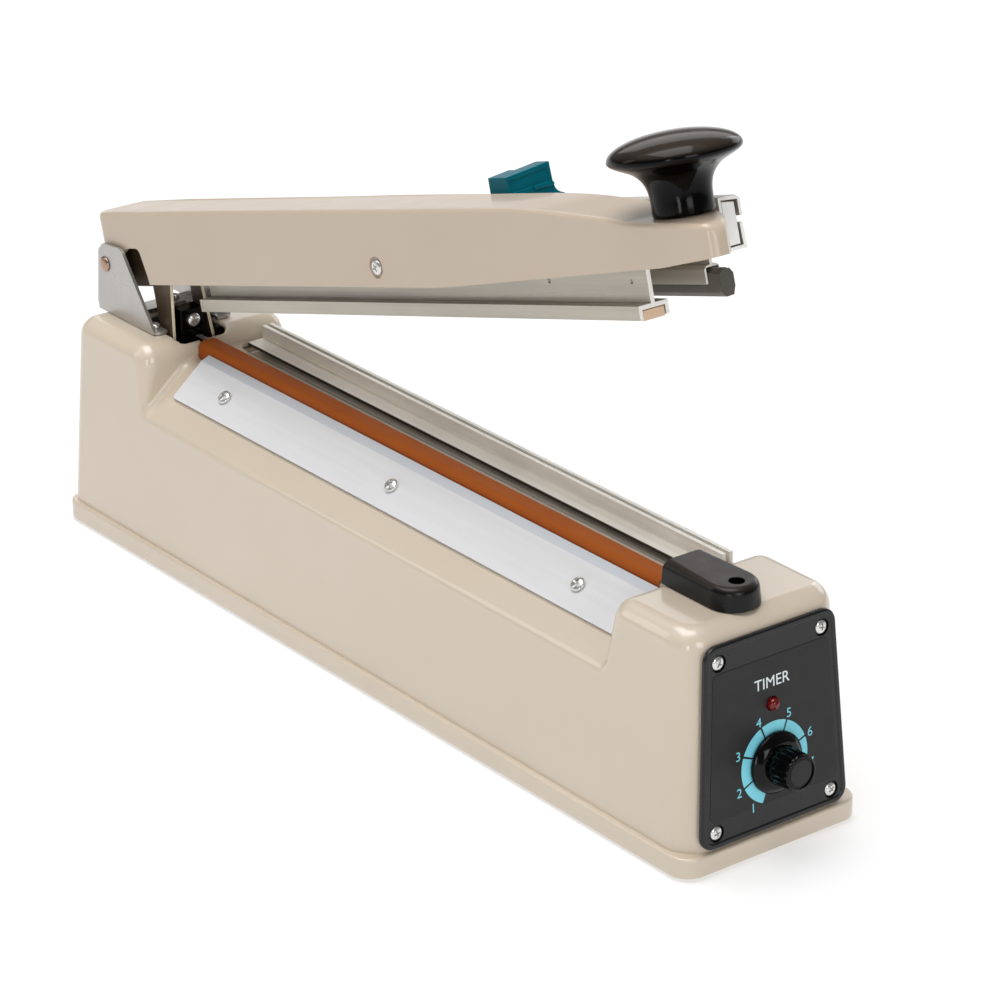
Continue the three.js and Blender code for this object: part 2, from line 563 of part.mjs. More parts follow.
function makeHandle() {
  const foot = HANDLE.foot;
  const rim = 37.2;
  const edge = { middle: 20.8, width: 4.4, depth: 4 };
  const crown = 8.2;
  const profile = [[0, foot], [11.7, foot], [11.6, 22], [12.3, 25.5], [13.8, 28.5], [16.4, 31.2]];
  for (let turn = -90; turn <= 0; turn += 30) {
    profile.push([edge.middle + edge.width * Math.cos(turn * DEG), rim + edge.depth * Math.sin(turn * DEG)]);
  }
  for (let turn = 15; turn < 90; turn += 15) {
    profile.push([(edge.middle + edge.width) * Math.cos(turn * DEG), rim + crown * Math.sin(turn * DEG)]);
  }
  profile.push([0, rim + crown]);
  const bore = rod('z', [0, 0], 3.3, foot - 1, 31, 16);
  return turned(profile, 'z', [0, 0, 0], 32).subtract(bore).translate([HANDLE.a, ARM_Y, 0]);
}

function makeHandleScrew() {
  const head = HANDLE.foot - 2.7;
  const profile = [[0, head - 3.6], [5, head - 3.6], [5, head - 0.4], [3, head - 0.4], [3, 30.6], [0, 30.6]];
  return turned(profile, 'z', [HANDLE.a, ARM_Y, 0], 16);
}

// C-shaped track on the cutter's side, with its slot in the outer face.
function makeTrack() {
  const { y0, y1, bottom, top, skin } = TRACK;
  const outline = [[y0, bottom], [y1, bottom], [y1, bottom + 2], [y1 - 0.6, 6], [y1 - 2, 6],
    [y1 - skin - 0.2, bottom + skin],
    [y0 + skin, bottom + skin], [y0 + skin, top - skin], [y1 - skin, top - skin - 0.8], [y1 - skin, 8.4],
    [y1, 8.4], [y1, top - 2], [y1 - 2, top - 0.4], [y0 + 4, top]];
  outline.push([y0, top]);
  const rib = box(TRACK.a0 + 10, 318, ARM_FAR + GAP, y0 + 1, 2, 6);
  return join([prism(outline, 'x', TRACK.a0, TRACK.a1), rib]);
}

// A stop closes the channel's front end, so that the cutter cannot run out.
function makeTrackStop() {
  const { y0, y1, bottom, top, skin } = TRACK;
  const low = bottom + skin + GAP;
  const high = top - skin - GAP;
  const outline = [[y0 + skin + GAP, low], [y1 - 2.4, low], [y1 - 2.6, high - 1], [y0 + skin + GAP, high]];
  return prism(outline, 'x', TRACK.a1 - 13, TRACK.a1 - 0.4);
}

const STRIP = { y0: 62.3, y1: 67.5, top: -10.6, bottom: -21.6, a1: 374.6 };
const HOLDER = { y0: 61, y1: 68.5, leg: -16.4, a1: 367.5 };

function makeStripHolder() {
  const { y0, y1, leg } = HOLDER;
  const roof = STRIP.top + GAP;
  const linkTop = TRACK.bottom - GAP;
  const bend = 1.4;
  const outline = [[y0, leg], [y0 + 1, leg], [y0 + 1, roof], [y1 - 0.7, roof], [y1 - 0.7, leg + 3],
    [y1, leg + 3], [y1, roof], [y1 - bend, roof + 1], [65.4, roof + 1], [65.4, linkTop], [64, linkTop],
    [64, roof + 1], [y0 + bend, roof + 1], [y0, roof - 0.4]];
  return prism(outline, 'x', BAR.a0 + 4, HOLDER.a1);
}

function makeFilmStrip() {
  const { y0, y1, top, bottom } = STRIP;
  const c = 1.8;
  const outline = [[y0, bottom + c], [y0 + c, bottom], [y1 - c, bottom], [y1, bottom + c], [y1, top - c],
    [y1 - c, top], [y0 + c, top], [y0, top - c]];
  return prism(outline, 'x', BAR.a0 + 6, STRIP.a1);
}

// ---- Cutter, drawn on the level arm ---------------------------------------------------------
function makeCutterHandle() {
  const a = CUTTER_A;
  const grip = 6.2; // half of the grip's length along the arm
  const shoe = box(a - 13, a + 13, TRACK.y0 + TRACK.skin + 0.5, 65.6, -1.8, 14.4);
  const neck = box(a - 12, a + 12, 65, 71, 6.5, 7.9);
  const cheek = box(a - 12, a + 12, 68.9, 73, -8, 14);
  const riseOutline = [[68.9, 13], [73, 13], [74, 14.3], [87.5, 14.3], [87.5, 15.2], [84.6, 16.2],
    [83.3, 17.8], [82.5, 20.2], [82.2, 28.6], [60.2, 26.2], [60.4, 17.4], [68.9, 17.4]];
  const rise = prism(riseOutline, 'x', a - grip, a + grip);
  const bladeSlot = box(a - BLADE.half - GAP, a + BLADE.half + GAP, BLADE.y0 - 0.8, BLADE.y1 + GAP, -9, 2.4);
  return join([shoe, neck, cheek, rise]).subtract(bladeSlot);
}

function makeBlade() {
  const a = CUTTER_A;
  const shoulder = BLADE.tip + 9;
  const outline = [[a - BLADE.half, 2], [a - BLADE.half, shoulder], [a, BLADE.tip],
    [a + BLADE.half, shoulder], [a + BLADE.half, 2]];
  return prism(outline, 'y', BLADE.y0, BLADE.y1);
}

// ---- Control panel, drawn on the leaning front face ------------------------------------------
// Local x is the outward normal from the face, y is across and z is up along the face.
const faceGroup = new THREE.Group();
faceGroup.position.set(frontFaceX(PANEL.low), 0, PANEL.low);
faceGroup.rotation.y = -FRONT_LEAN;
model.add(faceGroup);
const upFace = (z) => (z - PANEL.low) / Math.cos(FRONT_LEAN);
const PANEL_SCREWS = [{ y: MID_Y - 28.7, z: 15.5 }, { y: MID_Y + 28.7, z: 15.5 }, { y: MID_Y - 25.5, z: 83 },
  { y: MID_Y + 25.5, z: 83 }];
const SCREW_POCKET = { radius: 3.6, depth: 1.9 }; // each panel screw is sunk in one

function panelOutline(inset) {
  const r = PANEL.corner - inset;
  const high = upFace(PANEL.high) - inset;
  const corners = [[PANEL.highHalf - inset, high, 0], [-PANEL.highHalf + inset, high, 1],
    [-PANEL.lowHalf + inset, inset, 2], [PANEL.lowHalf - inset, inset, 3]];
  return corners.flatMap(([y, z, quarter]) => [0, 1, 2, 3, 4].map((i) => {
    const angle = (quarter + i / 4) * 90 * DEG;
    const cy = y - Math.sign(y) * r;
    const cz = quarter < 2 ? z - r : z + r;
    return [MID_Y + cy + r * Math.cos(angle), cz + r * Math.sin(angle)];
  }));
}

function makePanel() {
  const plate = prism(panelOutline(0), 'x', GAP, PANEL.thick);
  const sunk = prism(panelOutline(2.2), 'x', PANEL.thick - 0.5, 9);
  const knobHole = rod('x', [KNOB.y, upFace(KNOB.z)], 4.2, -5, 9);
  const lampHole = rod('x', [LAMP.y, upFace(LAMP.z)], 2.9, -5, 9);
  const tools = [sunk, knobHole, lampHole];
  for (const { y, z } of PANEL_SCREWS) {
    tools.push(rod('x', [y, upFace(z)], 1.9, -5, 9, 12));
    tools.push(rod('x', [y, upFace(z)], SCREW_POCKET.radius, PANEL.thick - SCREW_POCKET.depth, 9));
  }
  return cut(plate, tools);
}

function makeKnob() {
  const outline = [];
  const flutes = 20;
  for (let i = 0; i < flutes * 3; i++) {
    const angle = (i / (flutes * 3)) * 2 * Math.PI;
    const r = i % 3 === 0 ? 7.1 : 7.7;
    outline.push([r * Math.cos(angle), r * Math.sin(angle)]);
  }
  const grip = prism(outline, 'x', 5, KNOB.reach);
  const skirt = turned([[0, 2.6], [12.4, 2.6], [12.4, 4.2], [10.6, 6.2], [0, 6.2]], 'x', [0, 0, 0], 32);
  const shaft = rod('x', [0, 0], 3, -7, 4, 16);
  return join([grip, skirt, shaft]).translate([0, KNOB.y, upFace(KNOB.z)]);
}

function makePotentiometer() {
  const body = rod('x', [0, 0], 8.5, -14, -3.2, 24);
  const bush = rod('x', [0, 0], 3.9, -5, 1.8, 20);
  const bore = rod('x', [0, 0], 3.3, -7.4, 5, 16);
  const lugs = box(-9, -7.6, -5, 5, -14, -7);
  return join([body, bush, lugs]).subtract(bore).translate([0, KNOB.y, upFace(KNOB.z)]);
}

function makeBoard() {
  const plate = box(-17.6, -16, 18, 69, 8, 62);
  const relay = box(-31, -17, 24, 38, 40, 55);
  const capacitor = rod('x', [60, 50], 5, -30, -17, 16);
  const plug = box(-24, -17, 52, 66, 18, 24);
  return join([plate, relay, capacitor, plug]);
}

function makeLamp() {
  const { radius } = LAMP;
  const profile = [[0, -8], [radius, -8], [radius, 2.6], [radius * 0.8, 4.1], [radius * 0.4, 4.9], [0, 5.1]];
  return turned(profile, 'x', [0, LAMP.y, upFace(LAMP.z)], 20);
}

// ---- Assembly -----------------------------------------------------------------------------
addPiece('housing', makeHousing(), cream);

const FEET = [[26, 16], [26, BASE.width - 16], [BASE.length - 30, 16], [BASE.length - 30, BASE.width - 16]];
const floorOutline = roundedOutline(5.4, BASE.length - 6, 5.4, BASE.width - 5.4, 11, 4, 7);
const bottomPlate = prism(floorOutline, 'z', 0.3, 2.3);
addPiece('bottom_plate', cut(bottomPlate, FEET.map(([x, y]) => rod('z', [x, y], 3.2, -2, 5, 16))), steel);
FEET.forEach(([x, y], i) => {
  const profile = [[0, -FOOT_PROUD], [7, -FOOT_PROUD], [7.5, -1], [7.5, 0], [2.9, 0], [2.9, 2.6], [4.6, 2.6],
    [3.4, 5], [0, 5]];
  addPiece(`foot_${i + 1}`, turned(profile, 'z', [x, y, 0], 20), rubber);
});

addPiece('sealing_bed', makeBed(), aluminium);
const tape = box(BED.x0, BED.x1, BED.y - 2.8, BED.y + 2.8, BED.top + 0.15, BED.top + 0.55);
addPiece('insulating_tape', tape, silicone);
addPiece('heating_element', box(ELEMENT.x0, ELEMENT.x1, BED.y - ELEMENT.half, BED.y + ELEMENT.half, ELEMENT.z,
  ELEMENT.z + ELEMENT.thick), steel);
addPiece('ptfe_cloth', makePtfe(), ptfe);
addPiece('clamp_plate', makeClampPlate(), steel);
CLAMP_SCREW_X.forEach((x, i) => {
  const upright = screw(UPWARDS, [0, 0, 0.3], { radius: 3.2, height: 1.9 }, { radius: 1.6, length: 9 });
  addPiece(`clamp_screw_${i + 1}`, onBevel(upright, x), steel);
});
addPiece('cutter_rail', makeRail(), aluminium);
addPiece('terminal_cap', makeCap(), black);
addPiece('cap_screw', screw(UPWARDS, [CAP.screwX, BED.y, BASE.top + GAP + 3.3], { radius: 2.7, height: 1.8 },
  { radius: 1.5, length: 10 }), steel);

addPiece('hinge_bracket', makeHingeBracket(), chrome);
addPiece('hinge_pin', makeHingePin(), copper);
BRACKET_SCREWS.forEach(([x, y], i) => {
  const seat = [x, y, BRACKET.seat + SHEET + 0.3];
  const name = `bracket_screw_${i + 1}`;
  addPiece(name, screw(UPWARDS, seat, { radius: 2.3, height: 1.8 }, { radius: 1.5, length: 8 }), steel);
});
addPiece('spring_bracket', makeSpringBracket(), zinc);
addPiece('return_spring', makeReturnSpring(), steel);
addPiece('micro_switch', makeMicroSwitch(), black);
addPiece('switch_plunger', makeSwitchPlunger(), red);
addPiece('rear_terminal', makeRearTerminal(), black);
const terminalSeat = [REAR_TERMINAL.face + GAP, REAR_TERMINAL_SCREW.y, REAR_TERMINAL_SCREW.z];
const terminalScrew = screw(FORWARDS, terminalSeat, { radius: 2.9, height: 1.9 }, { radius: 1.3, length: 5 });
addPiece('rear_terminal_screw', terminalScrew, steel);
addPiece('front_terminal', makeFrontTerminal(), black);
addPiece('transformer_core', makeTransformerCore(), laminations);
addPiece('transformer_coil', makeTransformerCoil(), winding);

const glandSeat = rearFaceX(GLAND.z) - 1.2;
const glandProfile = [[3.3, -9], [5, -9], [GLAND.radius + 1.6, -1], [GLAND.radius + 1.6, glandSeat],
  [GLAND.radius, glandSeat], [GLAND.radius, 9], [3.3, 9], [3.3, -9]];
addPiece('cord_gland', turned(glandProfile, 'x', [0, GLAND.y, GLAND.z], 20), black);
const fuseProfile = [[0, -7], [5.4, -7], [6, -6.2], [6.4, -2], [8, -1.6], [8, rearFaceX(FUSE.z) - 1.2],
  [FUSE.radius, rearFaceX(FUSE.z) - 1.2], [FUSE.radius, 14], [5, 14], [5, 32], [0, 32]];
addPiece('fuse_holder', turned(fuseProfile, 'x', [0, FUSE.y, FUSE.z], 20), black);

addPiece('control_panel', makePanel(), charcoal, faceGroup);
PANEL_SCREWS.forEach(({ y, z }, i) => {
  const seat = [PANEL.thick - SCREW_POCKET.depth + 0.2, y, upFace(z)];
  const body = screw(FORWARDS, seat, { radius: 2.9, height: 1.6 }, { radius: 1.6, length: 9 });
  addPiece(`panel_screw_${i + 1}`, body, steel, faceGroup);
});
addPiece('indicator_lamp', makeLamp(), red, faceGroup);
addPiece('potentiometer', makePotentiometer(), charcoal, faceGroup);
addPiece('timer_board', makeBoard(), board, faceGroup);
addPiece('timer_knob', makeKnob(), black, faceGroup);

addPiece('arm_cover', makeArmCover(), cream, armGroup);
addPiece('press_bar', makePressBar(), aluminium, armGroup);
addPiece('silicone_strip', makeSiliconeStrip(), silicone, armGroup);
addPiece('arm_yoke', makeArmYoke(), zinc, armGroup);
const armScrewSeat = [ARM_SCREW.a, ARM_NEAR + ARM_SCREW.sunk - GAP, ARM_SCREW.h];
const armScrewShank = { radius: 1.6, length: 14 };
const armScrew = screw(TO_OPERATOR, armScrewSeat, { radius: 2.9, height: 1.6 }, armScrewShank);
addPiece('arm_screw', armScrew, steel, armGroup);
addPiece('handle', makeHandle(), black, armGroup);
addPiece('handle_screw', makeHandleScrew(), steel, armGroup);
addPiece('cutter_track', makeTrack(), aluminium, armGroup);
addPiece('track_stop', makeTrackStop(), aluminium, armGroup);
addPiece('strip_holder', makeStripHolder(), aluminium, armGroup);
addPiece('film_strip', makeFilmStrip(), rubber, armGroup);
addPiece('cutter_handle', makeCutterHandle(), teal, armGroup);
addPiece('cutter_blade', makeBlade(), steel, armGroup);

// Centre the whole on its bottom centre.
model.updateMatrixWorld(true);
const bounds = new THREE.Box3().setFromObject(model, true);
model.position.set(-(bounds.min.x + bounds.max.x) / 2, -(bounds.min.y + bounds.max.y) / 2, -bounds.min.z);
model.updateMatrixWorld(true);

export default model;
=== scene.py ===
"""Looks of the hand impulse heat sealer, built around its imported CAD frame.

Shapes are drawn in millimetres in three frames: BASE (x from the rear edge of the housing, y from
the operator's side, z from its bottom rim), ARM (a along the arm from the hinge, y, h square to
the arm) and FACE (x out of the sloping control face, y, z up the face). Each frame's matrix gives
metres.
"""
import json
from math import atan, copysign, cos, dist, hypot, pi, radians, sin, sqrt, tan

import bmesh
import bpy
import numpy as np
from mathutils import Matrix, Vector


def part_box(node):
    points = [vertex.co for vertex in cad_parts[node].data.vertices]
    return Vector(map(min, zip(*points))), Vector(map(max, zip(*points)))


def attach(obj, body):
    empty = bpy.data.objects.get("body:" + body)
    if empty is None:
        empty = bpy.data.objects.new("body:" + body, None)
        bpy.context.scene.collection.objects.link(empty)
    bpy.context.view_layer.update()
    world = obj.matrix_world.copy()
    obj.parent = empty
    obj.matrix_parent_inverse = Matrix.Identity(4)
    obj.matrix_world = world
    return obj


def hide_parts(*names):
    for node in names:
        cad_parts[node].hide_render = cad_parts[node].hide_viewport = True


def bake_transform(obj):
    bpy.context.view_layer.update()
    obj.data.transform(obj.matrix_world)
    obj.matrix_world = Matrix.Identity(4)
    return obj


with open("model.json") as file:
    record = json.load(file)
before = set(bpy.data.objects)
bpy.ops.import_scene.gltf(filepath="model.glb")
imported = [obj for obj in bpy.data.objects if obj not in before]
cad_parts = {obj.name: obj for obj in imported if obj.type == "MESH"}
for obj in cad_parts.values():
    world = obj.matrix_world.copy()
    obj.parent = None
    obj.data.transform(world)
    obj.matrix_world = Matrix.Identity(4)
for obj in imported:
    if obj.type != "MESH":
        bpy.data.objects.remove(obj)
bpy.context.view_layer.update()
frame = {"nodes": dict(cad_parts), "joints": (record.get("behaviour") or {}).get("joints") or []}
NODES = frame["nodes"]

# ---- Driving dimensions, in millimetres ----
MM = 0.001
HOUSING_LOW, HOUSING_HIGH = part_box("housing")
LENGTH = (HOUSING_HIGH.x - HOUSING_LOW.x) / MM
WIDTH = (HOUSING_HIGH.y - HOUSING_LOW.y) / MM
MID_Y = WIDTH / 2
TOP = (HOUSING_HIGH.z - HOUSING_LOW.z) / MM
FLANGE = 8.2
FLANGE_CORNER = 9
STEP = 2.3
REAR_STEP = 0.8
SIDE_DRAFT = tan(radians(2.7))
FRONT_LEAN = radians(4.3)
WALL = 2.5
SADDLE_TOP = 85.8
SADDLE_START = 61.5
SADDLE_END = 379.5
BEVEL_Y = 4.97
BEVEL_Z = 65.4
BEVEL_SLOPE = 0.85
BED_Y = 40.2
FACE_FOOT = 9.4
KNOB_Y = MID_Y + 0.4
KNOB_Z = 36
LAMP_Z = 59.7
PANEL_SCREWS = [(MID_Y - 28.7, 15.5), (MID_Y + 28.7, 15.5), (MID_Y - 25.5, 83), (MID_Y + 25.5, 83)]
CAP_SCREW = (413.8, BED_Y)
HANDLE = (387.4, BED_Y)
PIN_X = 11.5
PIN_Z = 118.9
GLAND_Y = 28
FUSE_Y = 58
FITTING_Z = 24
RAIL_FLANGE = 89
# Height of the rail flange; the rail's near faces below it carry painted shade.
RAIL_SHADE_TOP = HOUSING_LOW.z + RAIL_FLANGE * MM

HINGE = next(j for j in frame["joints"] if j["name"] == "arm_hinge")
ARM_RISE = radians(-HINGE["range_deg"][0])

BASE = Matrix.Translation(HOUSING_LOW) @ Matrix.Scale(MM, 4)
ARM = (Matrix.Translation(HINGE["pos_m"]) @ Matrix.Rotation(-ARM_RISE, 4, "Y")
       @ Matrix.Scale(MM, 4) @ Matrix.Translation((0, -MID_Y, 0)))
FACE_X = LENGTH - STEP - (FACE_FOOT - FLANGE) * tan(FRONT_LEAN)
FACE = BASE @ Matrix.Translation((FACE_X, 0, FACE_FOOT)) @ Matrix.Rotation(-FRONT_LEAN, 4, "Y")


def up_face(z):
    """Height above the foot of the control face, measured along it."""
    return (z - FACE_FOOT) / cos(FRONT_LEAN)


def configured(thing, **settings):
    """Sets a thing's properties and hands it back."""
    for setting, value in settings.items():
        setattr(thing, setting, value)
    return thing


# ---- Materials ----
def linear(*rgb):
    """A colour given as 0..255 display values, as the shader's linear RGBA."""
    values = [c / 255 for c in rgb]
    return tuple(c / 12.92 if c < 0.04045 else ((c + 0.055) / 1.055) ** 2.4
                 for c in values) + (1,)


def scaled(colour, factor, lift=0.0):
    """A darker or lighter version of a colour."""
    return tuple(min(1, c * factor + lift) for c in colour[:3]) + (1,)


class Shader:
    """A Principled material with helpers that hang procedural detail on it."""

    def __init__(self, name, colour, roughness, metallic=0.0, **sockets):
        self.material = bpy.data.materials.new(name)
        self.material.use_nodes = True
        self.nodes = self.material.node_tree.nodes
        self.links = self.material.node_tree.links
        self.principled = self.nodes["Principled BSDF"]
        self.colour = colour
        self.roughness = roughness
        self.set("Base Color", colour)
        self.set("Roughness", roughness)
        self.set("Metallic", metallic)
        for socket, value in sockets.items():
            self.set(socket.replace("_", " "), value)
        self.place = self.nodes.new("ShaderNodeTexCoord").outputs["Object"]
        self.normal = None

    def set(self, socket, value):
        self.principled.inputs[socket].default_value = value

    def add(self, kind, links, values=(), **settings):
        """A new node with its settings, then its plain values, then its links."""
        node = configured(self.nodes.new("ShaderNode" + kind), **settings)
        for socket, value in dict(values).items():
            node.inputs[socket].default_value = value
        for socket, source in links.items():
            self.links.new(source, node.inputs[socket])
        return node.outputs

    def mapped(self, scale=(1, 1, 1), turn_y=0.0):
        """Object coordinates stretched by a scale along axes that are turned up by an angle."""
        values = {"Scale": [1 / k for k in scale], "Rotation": (0, -turn_y, 0)}
        return self.add("Mapping", {"Vector": self.place}, values, vector_type="TEXTURE")["Vector"]

    def noise(self, scale, detail=2.0, where=None):
        values = {"Scale": scale, "Detail": detail}
        return self.add("TexNoise", {"Vector": where or self.place}, values)["Fac"]

    def wave(self, scale, direction):
        return self.add("TexWave", {"Vector": self.place}, {"Scale": scale},
                        bands_direction=direction)["Fac"]

    def remap(self, value, low, high, start=0.0, end=1.0):
        values = {"From Min": start, "From Max": end, "To Min": low, "To Max": high}
        return self.add("MapRange", {"Value": value}, values)["Result"]

    def multiply(self, first, second):
        return self.add("Math", {0: first, 1: second}, operation="MULTIPLY")[0]

    def bump(self, height, strength, distance):
        """Adds a bump on top of those already there."""
        links = {"Height": height}
        if self.normal:
            links["Normal"] = self.normal
        values = {"Strength": strength, "Distance": distance}
        self.normal = self.add("Bump", links, values)["Normal"]
        self.links.new(self.normal, self.principled.inputs["Normal"])

    def vary_roughness(self, value, spread):
        result = self.remap(value, self.roughness - spread, self.roughness + spread, 0.25, 0.75)
        self.links.new(result, self.principled.inputs["Roughness"])

    def blend_colour(self, factor, other):
        """Mixes the colour so far with another, by a 0..1 factor."""
        socket = self.principled.inputs["Base Color"]
        links, values = {"Factor": factor}, {"B": other}
        if socket.is_linked:
            links["A"] = socket.links[0].from_socket
        else:
            values["A"] = self.colour
        mixed = self.add("Mix", links, values, data_type="RGBA")["Result"]
        self.links.new(mixed, socket)

    def facing(self, axis, start, end, turn_y=0.0, both=False):
        """0..1 as the surface turns to face along an axis of the turned object, or either way."""
        normal = self.add("NewGeometry", {})["Normal"]
        own = self.add("VectorTransform", {"Vector": normal}, vector_type="NORMAL",
                       convert_from="WORLD", convert_to="OBJECT")["Vector"]
        along = Matrix.Rotation(turn_y, 3, "Y") @ Vector(axis)
        value = self.add("VectorMath", {0: own}, {1: along}, operation="DOT_PRODUCT")["Value"]
        if both:
            value = self.add("Math", {0: value}, operation="ABSOLUTE")[0]
        return self.remap(value, 0.0, 1.0, start, end)


def paint(name, colour, shade, coat):
    """Glossy enamel: a faint drift of tone, a fine orange peel and a clear coat."""
    s = Shader(name, colour, 0.34, Coat_Weight=coat, Coat_Roughness=0.09)
    s.blend_colour(s.remap(s.noise(14, 3), 0.0, 0.5, 0.35, 0.75), shade)
    s.vary_roughness(s.noise(60, 3), 0.05)
    s.bump(s.noise(420, 2), 0.035, 0.0004)
    return s


def extruded(name, colour, metallic, turn_y=0.0, shade_top=0.0):
    """Aluminium profile: die lines, +X-facing ends painted near-white as a painted highlight, and
    painted shade on the near side below a given height.
    """
    s = Shader(name, colour, 0.33, metallic)
    lines = s.noise(260, 3, s.mapped((0.02, 1, 1), turn_y))
    s.blend_colour(s.remap(lines, 0.0, 0.5, 0.4, 0.8), scaled(colour, 0.66))
    s.blend_colour(s.remap(s.noise(35, 4), 0.0, 0.2, 0.45, 0.8), linear(160, 152, 142))
    # Painted highlight: the ends that face +X are painted near-white and made less metallic.
    end_highlight = s.facing((1, 0, 0), 0.85, 0.97, -turn_y)
    s.blend_colour(end_highlight, linear(255, 254, 250))
    s.links.new(s.remap(end_highlight, metallic, 0.0), s.principled.inputs["Metallic"])
    # Painted shade: the -Y-facing faces below the rail flange's height go near-black, standing in
    # for the channel's shadow.
    if shade_top:
        height = s.add("SeparateXYZ", {"Vector": s.place})["Z"]
        low = s.remap(height, 1.0, 0.0, shade_top - 0.0004, shade_top)
        s.blend_colour(s.multiply(low, s.facing((0, -1, 0), 0.5, 0.8)), linear(24, 19, 14))
    s.vary_roughness(lines, 0.10)
    s.bump(s.noise(700, 2, s.mapped((0.015, 1, 1), turn_y)), 0.12, 0.0002)
    return s


def sheet_steel(name, colour, roughness, grain=(0.05, 1, 1), metallic=0.9):
    """Rolled sheet: fine grain along one direction, and faint handling marks."""
    s = Shader(name, colour, roughness, metallic)
    lines = s.noise(300, 2, s.mapped(grain))
    s.blend_colour(s.remap(lines, 0.0, 0.2, 0.35, 0.8), scaled(colour, 0.72))
    s.vary_roughness(s.noise(45, 4), 0.07)
    return s


def clamp_steel():
    """Satin plate whose upward-facing folded lip is painted a cooler, lighter tone: a painted
    reflection.
    """
    s = sheet_steel("clamp_plate_satin", linear(220, 220, 222), 0.5, metallic=0.1)
    # Painted reflection: faces turned up, the folded lip, take a cooler, lighter tone.
    s.blend_colour(s.facing((0, 0, 1), 0.80, 0.87), linear(204, 209, 216))
    return s


def moulded(name, colour, roughness, grain, depth=0.05, level=0.5, **sockets):
    """Moulded plastic or rubber with a fine skin; the level is its specular one."""
    s = Shader(name, colour, roughness, Specular_IOR_Level=level, **sockets)
    s.blend_colour(s.remap(s.noise(70, 4), 0.0, 0.35, 0.45, 0.8), scaled(colour, 1.4, 0.003))
    s.vary_roughness(s.noise(120, 4), 0.06)
    s.bump(s.noise(grain, 3), depth, 0.0003)
    return s


def folded_steel():
    """The yoke's dark bronze sheet; its cut edges facing ±X are painted near-white: bare metal with
    a painted highlight.
    """
    dark = linear(92, 74, 56)
    s = Shader("bronzed_sheet", dark, 0.4, 0.35)
    s.blend_colour(s.remap(s.noise(120, 4), 0.0, 0.5, 0.4, 0.8), linear(58, 44, 32))
    # Painted highlight, partly bare metal: faces turned along ±X, the sheet's cut edges, go
    # near-white.
    s.blend_colour(s.facing((1, 0, 0), 0.55, 0.8, both=True), linear(250, 238, 208))
    s.bump(s.noise(500, 3), 0.08, 0.0002)
    return s


def coated_cloth():
    """Brown coated glass cloth: a fine plain weave under a smooth coat, painted lighter on its
    crown as painted light.
    """
    s = Shader("ptfe_cloth_brown", linear(160, 80, 28), 0.6, Specular_IOR_Level=0.1)
    # Painted light: faces turned upwards, the crown, take a lighter orange.
    s.blend_colour(s.facing((0, 0, 1), 0.45, 1.0), linear(172, 90, 32))
    weave = s.multiply(s.wave(620, "X"), s.wave(620, "Y"))
    s.blend_colour(s.remap(s.noise(30, 3), 0.0, 0.35, 0.4, 0.75), linear(146, 72, 24))
    s.blend_colour(s.remap(weave, 0.0, 0.08), linear(186, 112, 60))
    s.bump(weave, 0.10, 0.0001)
    s.bump(s.noise(90, 3), 0.12, 0.0006)
    s.vary_roughness(s.noise(80, 3), 0.08)
    return s


def worn_black(name, sheen_colour, roughness, level, grain, depth):
    """Black moulding whose upward faces are painted a lighter brownish tone: a painted sheen."""
    s = Shader(name, linear(3, 2, 2), roughness, Specular_IOR_Level=level)
    # Painted sheen: faces turned upwards blend to a lighter brownish colour.
    s.blend_colour(s.facing((0, 0, 1), 0.35, 1.0), sheen_colour)
    s.vary_roughness(s.noise(120, 4), 0.05)
    s.bump(s.noise(grain, 3), depth, 0.0003)
    return s


